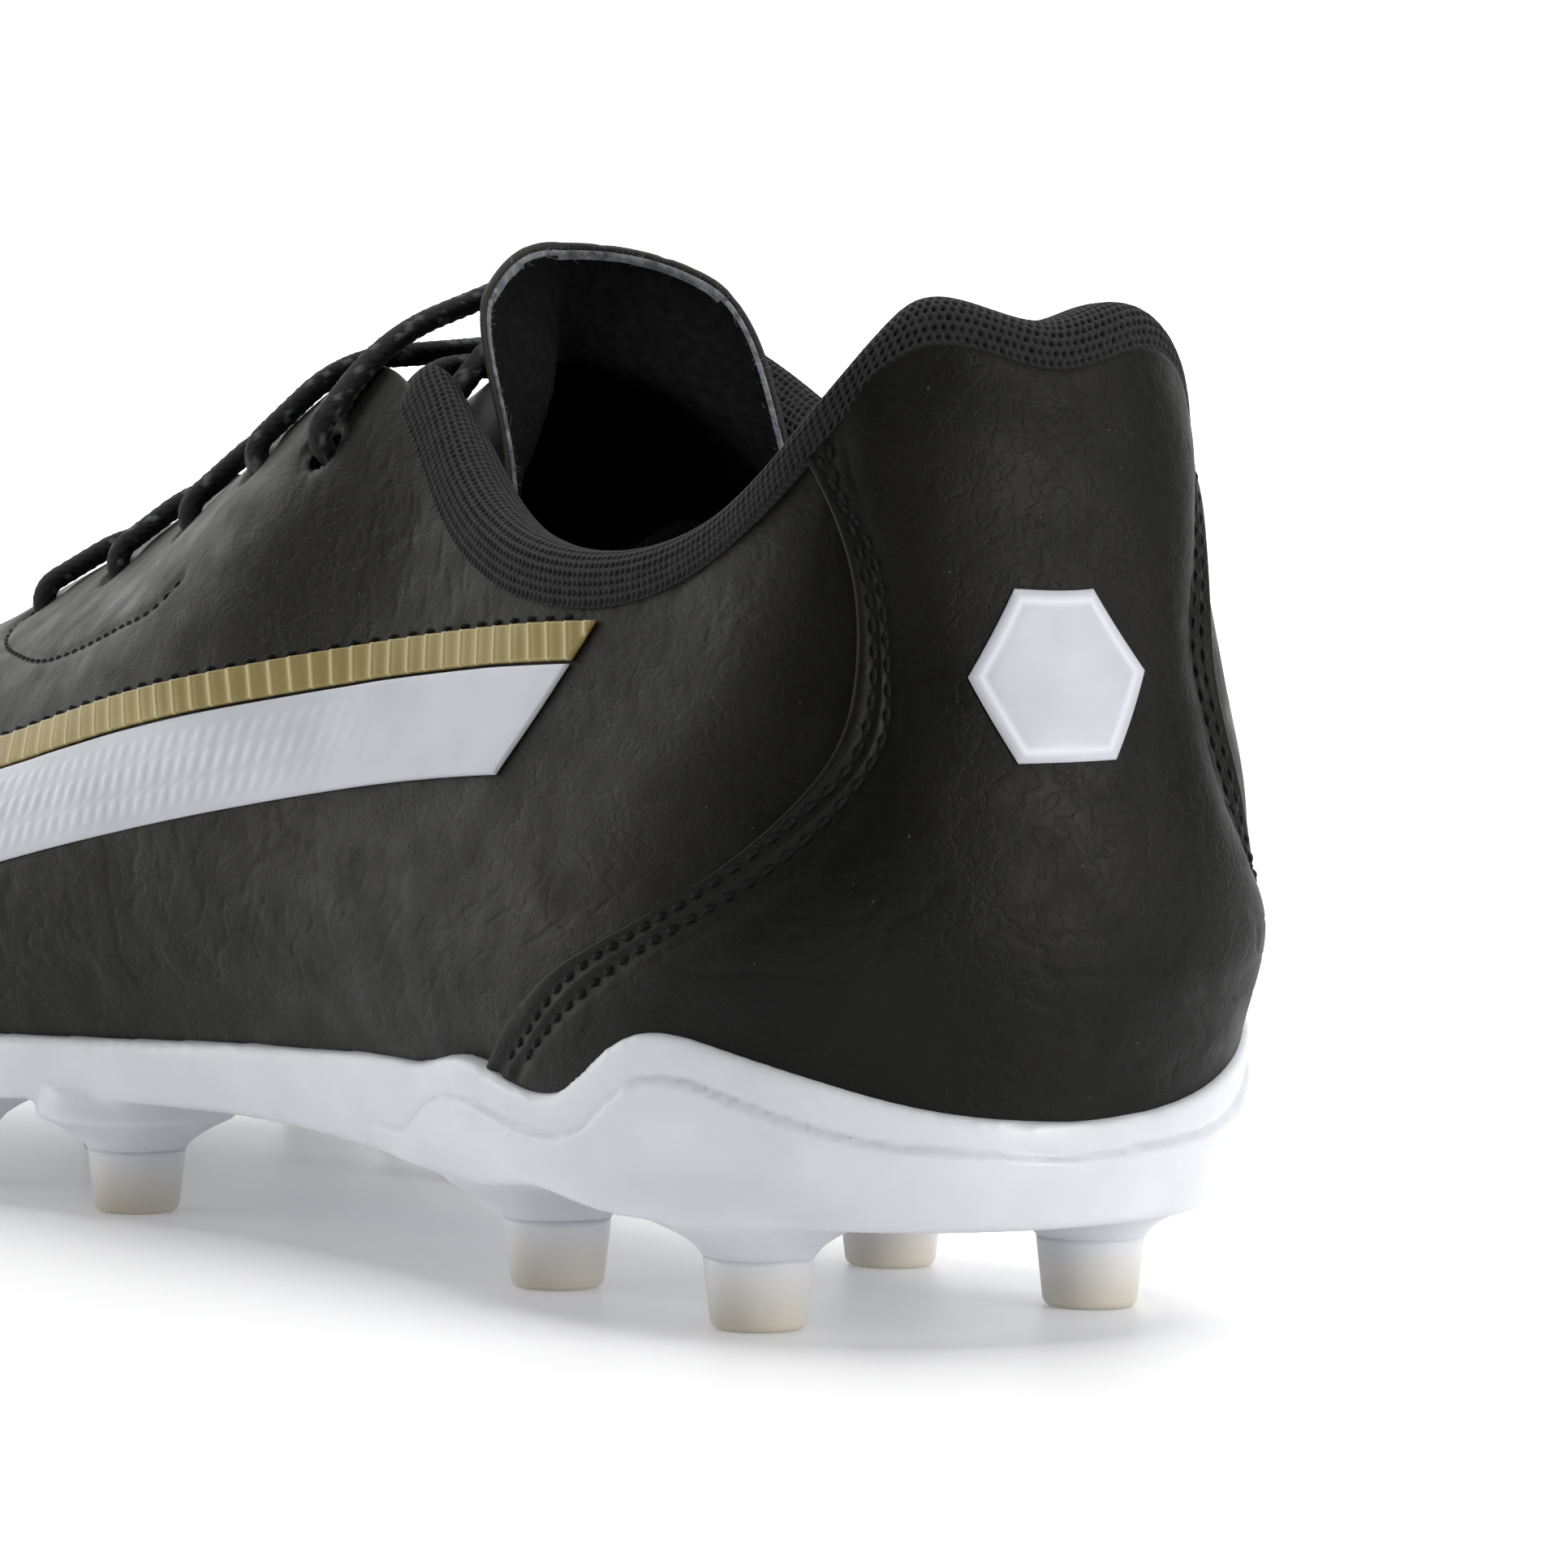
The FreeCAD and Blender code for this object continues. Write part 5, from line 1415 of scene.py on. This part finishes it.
def rounded_path(points, step=0.2):
    """Dense points of straight runs joined by tangent arcs, as large as their runs allow."""
    pieces = []
    here = points[0]
    for before, corner, after in zip(points, points[1:], points[2:]):
        back = before - corner
        ahead = after - corner
        reach = 0.45 * min(np.linalg.norm(back), np.linalg.norm(ahead))
        back /= np.linalg.norm(back)
        ahead /= np.linalg.norm(ahead)
        turn = math.pi - math.acos(np.clip(back @ ahead, -1.0, 1.0))
        radius = reach / math.tan(turn / 2)
        start = corner + back * reach
        end = corner + ahead * reach
        toward = (back + ahead) / np.linalg.norm(back + ahead)
        centre = corner + toward * math.hypot(radius, reach)
        straight = max(int(np.linalg.norm(start - here) / step), 1)
        parts = np.linspace(0, 1, straight, endpoint=False)[:, None]
        pieces.append(mix(here, start, parts))
        parts = np.linspace(0, 1, max(int(radius * turn / step), 3), endpoint=False)[:, None]
        pieces.append(centre + ((start - centre) * np.sin((1 - parts) * turn)
                                + (end - centre) * np.sin(parts * turn)) / math.sin(turn))
        here = end
    parts = np.linspace(0, 1, max(int(np.linalg.norm(points[-1] - here) / step), 2))[:, None]
    pieces.append(mix(here, points[-1], parts))
    return np.concatenate(pieces)


def make_lace():
    route = lace_route()
    corners, widths, outs = (np.array(part) for part in zip(*route))
    dense = rounded_path(corners)
    run = run_along(dense)
    step = 0.33
    at = np.linspace(0, run[-1], int(run[-1] / step))
    centre = along_line(at, run, dense)
    way = unit(np.gradient(centre, axis=0))
    near = np.array([np.argmin(np.linalg.norm(dense - corner, axis=1)) for corner in corners])
    near = np.maximum.accumulate(near)
    place_at = run[near] + np.arange(len(near)) * 1e-4
    side = along_line(at, place_at, widths)
    out = along_line(at, place_at, outs)
    # Where the lace runs along the boot its width turns to lie on the lining.
    crosswise = np.abs(np.sum(side * way, axis=1))[:, None]
    level = np.cross(out, way)
    level *= np.sign(np.sum(side * level, axis=1, keepdims=True) + 1e-9)
    side = mix(side, level, ease(crosswise, 0.55, 0.9))
    for k in range(1, len(side)):
        if side[k] @ side[k - 1] < 0:
            side[k] = -side[k]
    kernel = np.ones(9) / 9
    side = np.stack([np.convolve(np.pad(side[:, k], 4, mode="edge"), kernel, "valid")
                     for k in range(3)], 1)
    side = unit(side - way * np.sum(side * way, axis=1, keepdims=True))
    up = np.cross(way, side)
    turn = np.linspace(0, 2 * math.pi, LACE_SIDES, endpoint=False)
    cells_along = at[:, None] / BRAID_PITCH
    cells_round = turn[None] / (2 * math.pi) * BRAID_CELLS
    first = cells_along + cells_round
    second = cells_along - cells_round
    # The loop value is also the painted shade, darker in the grooves between the braid's cells; the
    # flecks dim there too.
    loop_and_shade = np.abs(np.sin(math.pi * first) * np.sin(math.pi * second)) ** 0.5
    relief = BRAID_RELIEF * (loop_and_shade - 0.55)
    flecks = random_cells(np.stack([np.floor(first), np.floor(second)], -1), 91)
    fleck = (flecks > FLECK_ABOVE) * (0.35 + 0.65 * loop_and_shade)
    across = (LACE_HALF_WIDTH + relief) * np.cos(turn)
    thick = (LACE_HALF_THICKNESS + relief) * np.sin(turn)
    points = centre[:, None] + side[:, None] * across[..., None] + up[:, None] * thick[..., None]
    mesh = build_mesh("lace_braided", points.reshape(-1, 3), tube_faces(len(at), LACE_SIDES),
                      {"loop_and_shade": loop_and_shade, "fleck": fleck})
    item = add_object("lace_braided", mesh, LOOKS["lace"], "boot")
    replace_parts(item, "lace")


# ------------------------------------------------------------------ outsole

STUDS = {
    "heel_lateral_rear": (24.0, -18.6, 0.0),
    "heel_medial_rear": (23.8, 18.4, 0.0),
    "heel_lateral_front": (59.5, -20.2, 0.0),
    "heel_medial_front": (59.7, 18.3, 0.0),
    "fore_lateral_1": (136.0, -29.0, 0.0),
    "fore_lateral_2": (169.0, -36.0, 0.0),
    "fore_lateral_3": (204.0, -37.5, 0.0),
    "fore_lateral_4": (237.0, -28.0, 1.2),
    "fore_medial_1": (148.0, 20.0, 0.0),
    "fore_medial_2": (180.0, 29.0, 0.0),
    "fore_medial_3": (212.0, 32.5, 0.0),
    "fore_medial_4": (243.0, 23.0, 1.2),
    "fore_centre": (192.0, -4.0, 0.0),
}
STUD_WAIST = 5.2
STUD_FOOT = 4.6
TIP_HEIGHT = 6.5
FLARE_REACH = 5.6
FLARE_HEIGHT = 3.8
FLARE_CURVE = 1.7
ARCH_RISE = 2.0
ARCH_MIDDLE = 99.4      # between the two rows of heel studs


def lathe(name, profile_points, centre, segments=56):
    """A turned closed solid: (radius, height) pairs from its bottom centre to its top centre."""
    rings = np.array(profile_points, float)
    turn = np.linspace(0, 2 * math.pi, segments, endpoint=False)
    ring = rings[:, None, :1] * np.stack([np.cos(turn), np.sin(turn)], -1)[None]
    heights = np.broadcast_to(rings[:, 1, None, None], ring.shape[:2] + (1,))
    points = np.concatenate([ring, heights], -1) + centre
    return build_mesh(name, points.reshape(-1, 3), tube_faces(len(rings), segments))


def feather_height(forward):
    """Height of the sole's level at a place forward of the heel, on the lateral side."""
    half = len(STATIONS) // 2 + 1
    return np.interp(forward, [row[0][0] for row in STATIONS[:half]],
                     [row[0][2] for row in STATIONS[:half]])


STEP_OUT = 0.55
STEP_GROOVE = 0.16
STEP_REACH = 9.0


def shape_rim(points, normals):
    """The rim's step round the heel, with the wall arched between the heel's studs.

    Below a line round the heel the sole's wall stands a little further out.
    """
    line = path_on_last(RIM_STEP + mirrored(RIM_STEP[-2::-1]), 1.9)[0]
    tree = tree_of(line)
    moved = points.copy()
    steep = np.hypot(normals[:, 0], normals[:, 1]) > 0.35
    for i in np.flatnonzero((points[:, 0] > 30) & (points[:, 2] > 7) & steep):
        _, at, gap = tree.find(points[i])
        if gap > STEP_REACH:
            continue
        below = line[at, 2] - points[i, 2]
        push = STEP_OUT * float(ease(below, -0.3, 0.35)) * (1 - float(ease(gap, 2.5, 8.5)))
        groove = STEP_GROOVE * bell(below, -0.25, 0.3)
        moved[i] = points[i] + unit(normals[i] * np.array([1.0, 1.0, 0.0])) * (push - groove)
    arch = bell(points[:, 0], ARCH_MIDDLE, 8.5) * ease(abs(points[:, 1] - SIDE_SHIFT), 8, 16)
    low = (1 - ease(points[:, 2], 8.5, 15)) * (normals[:, 2] < 0.4)
    moved[:, 2] += ARCH_RISE * arch * low
    return moved


RIM_SKIN = 0.12
RIM_POCKET = 1.35
LINER_IN = -0.55


def panel_share(q):
    """1 round the heel, where the heel panel tucks into the rim, 0 elsewhere."""
    return 1 - ease(from_heel(q), 0.108, 0.132)


def rim_liner():
    """A band inside the rim's thin wall, hidden in the upper, that keeps the wall whole."""
    q = np.linspace(0, 1, 420, endpoint=False)[:, None]
    part = np.array([[0.0, 0.35, 0.7, 0.9, 1.0]])
    h = part * bite_line(q)
    q = q + 0 * h
    pocket = panel_share(q) * RIM_POCKET
    outer = last.offset(q, h, RIM_SKIN + pocket + 0.45 - 0.25 * part ** 4)
    inner = last.offset(q, h, LINER_IN + 0 * h)
    rings = np.concatenate([outer, inner[:, ::-1]], axis=1)
    rows, sides = rings.shape[:2]
    index = np.arange(rows * sides).reshape(rows, sides)
    ahead = np.roll(index, -1, axis=0)
    faces = np.stack([index, ahead, np.roll(ahead, -1, axis=1), np.roll(index, -1, axis=1)], -1)
    return build_mesh("rim_liner", rings.reshape(-1, 3), faces.reshape(-1, 4).tolist())


def make_outsole():
    extra = [rim_liner()]
    for name, (forward, side, low) in STUDS.items():
        ceiling = feather_height(forward) - 2.2
        height = ceiling - low - TIP_HEIGHT
        steps = np.linspace(0, 1, 24)
        spread = FLARE_REACH * np.minimum(height * steps / FLARE_HEIGHT, 1.0) ** FLARE_CURVE
        rings = np.stack([STUD_WAIST + spread, TIP_HEIGHT + height * steps], 1)
        extra.append(lathe(f"flare_{name}", rings, place(forward, side, low)))
    softened("outsole_moulding", "outsole_plate", 0.5, 5,
             "outsole", shape_rim, extra)


def make_stud_tips():
    """Second-shot tips: a worn round foot, straight flank and a fine moulding line."""
    rounding = [(STUD_FOOT - 1.0 + math.sin(a), 1.0 - math.cos(a))
                for a in np.linspace(0, math.pi / 2, 9)]
    flank = [(mix(STUD_FOOT, STUD_WAIST, part), mix(1.0, TIP_HEIGHT - 0.25, part))
             for part in np.linspace(0.1, 1.0, 12)]
    rings = [(0.05, 0.12), (1.4, 0.1), (2.1, 0.0)] + rounding + flank
    rings += [(STUD_WAIST + 0.05, TIP_HEIGHT + 0.4), (STUD_WAIST - 0.5, TIP_HEIGHT + 0.45),
              (STUD_WAIST - 1.2, TIP_HEIGHT), (0.05, TIP_HEIGHT - 0.02)]
    for name, (forward, side, low) in STUDS.items():
        mesh = lathe(f"stud_end_{name}", rings, place(forward, side, low))
        item = add_object(f"stud_end_{name}", mesh, LOOKS["stud"], "boot")
        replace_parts(item, f"stud_tip_{name}")


# ------------------------------------------------------------------ carried-over nodes

HIDDEN_LOOKS = {
    "insole_board": "board", "sockliner_foam": "foam", "collar_padding": "foam",
    "heel_panel_padding": "foam", "heel_counter": "stiff", "toe_puff": "stiff",
    "eyestay_backing_lateral": "lining", "eyestay_backing_medial": "lining",
    "vamp_lining": "lining", "lace_tip_lateral": "tip", "lace_tip_medial": "tip",
}


def dress_nodes():
    for node, look in HIDDEN_LOOKS.items():
        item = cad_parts[node]
        item.data.materials.clear()
        item.data.materials.append(LOOKS[look])


# ------------------------------------------------------------------ studio

def stage_sheet(name, outline, toward, look, half_width=3.5):
    """A smooth strip swept along an outline of (distance, height) pairs, facing the camera."""
    across = Vector((toward.y, -toward.x, 0))
    points = []
    for along, up in outline:
        for side in (-half_width, half_width):
            points.append(toward * along + across * side + Vector((0, 0, cad_box[0][2] + up)))
    mesh = bpy.data.meshes.new(name)
    mesh.from_pydata(points, [], [(2 * i, 2 * i + 1, 2 * i + 3, 2 * i + 2)
                                  for i in range(len(outline) - 1)])
    mesh.polygons.foreach_set("use_smooth", np.ones(len(mesh.polygons), bool))
    mesh.update()
    mesh.materials.append(look)
    new_object(name, mesh)


def glowing(name, colour, roughness, glow):
    shade = Shade(name, colour, roughness, Specular_IOR_Level=0.3)
    darker = tuple(0.98 * part for part in colour)
    shade.colour(shade.blend(shade.grain(400.0), darker, colour))
    shade.surface.inputs["Emission Color"].default_value = (1, 1, 1, 1)
    shade.surface.inputs["Emission Strength"].default_value = glow
    return shade.material


LIGHTS = (
    ("overhead", (0.0, 0.05, 1.3), 1.1, 14.5, (1.0, 1.0, 1.0)),
    ("lateral_fill", (-0.25, -1.25, 0.5), 0.6, 1.7, (1.0, 0.98, 0.94)),
    ("rear_fill", (1.1, 0.75, 0.55), 0.7, 4.0, (1.0, 0.99, 0.97)),
    ("toe_fill", (-1.3, -0.5, 0.8), 1.0, 1.5, (1.0, 0.99, 0.96)),
    ("low_toe_fill", (-0.75, -0.75, 0.12), 0.35, 1.2, (1.0, 0.98, 0.93)),
    ("low_heel_fill", (0.9, 0.35, 0.1), 0.3, 2.6, (1.0, 0.98, 0.93)),
)
LIGHTS_AIM = Vector((0.04, 0, 0.05))
WORLD_LIGHT = 0.13


def make_studio():
    """Pale floor before a bright backdrop, and soft lights."""
    toward = Vector((-math.sin(CAMERA_AZIMUTH), math.cos(CAMERA_AZIMUTH), 0))
    stage_sheet("studio_floor", [(-3.0, 0.0), (0.3, 0.0), (0.7, 0.0), (1.6, 0.0)], toward,
                glowing("floor_look", (0.88, 0.88, 0.885), 0.45, 0.12))
    stage_sheet("studio_backdrop", [(1.6, -0.05), (1.6, 2.6)], toward,
                glowing("backdrop_look", (0.8, 0.8, 0.8), 0.9, 1.05))
    world = bpy.data.worlds.new("studio_world")
    bpy.context.scene.world = world
    world.use_nodes = True
    back = world.node_tree.nodes["Background"]
    back.inputs["Color"].default_value = (1, 1, 1, 1)
    back.inputs["Strength"].default_value = WORLD_LIGHT
    bpy.context.scene.view_settings.view_transform = "Standard"
    for name, spot, size, power, tint in LIGHTS:
        light = bpy.data.lights.new(name, "AREA")
        light.shape = "DISK"
        light.size = size
        light.energy = power
        light.color = tint
        lamp = new_object(name, light)
        lamp.location = spot
        aim = LIGHTS_AIM - Vector(spot)
        lamp.rotation_euler = aim.to_track_quat("-Z", "Y").to_euler()


make_lace()
make_outsole()
make_stud_tips()
make_heel_panel()
make_emblem()
make_quarters()
make_vamp()
make_linings()
make_sockliner()
make_binding()
make_tongue()
make_bands()
dress_nodes()
make_studio()
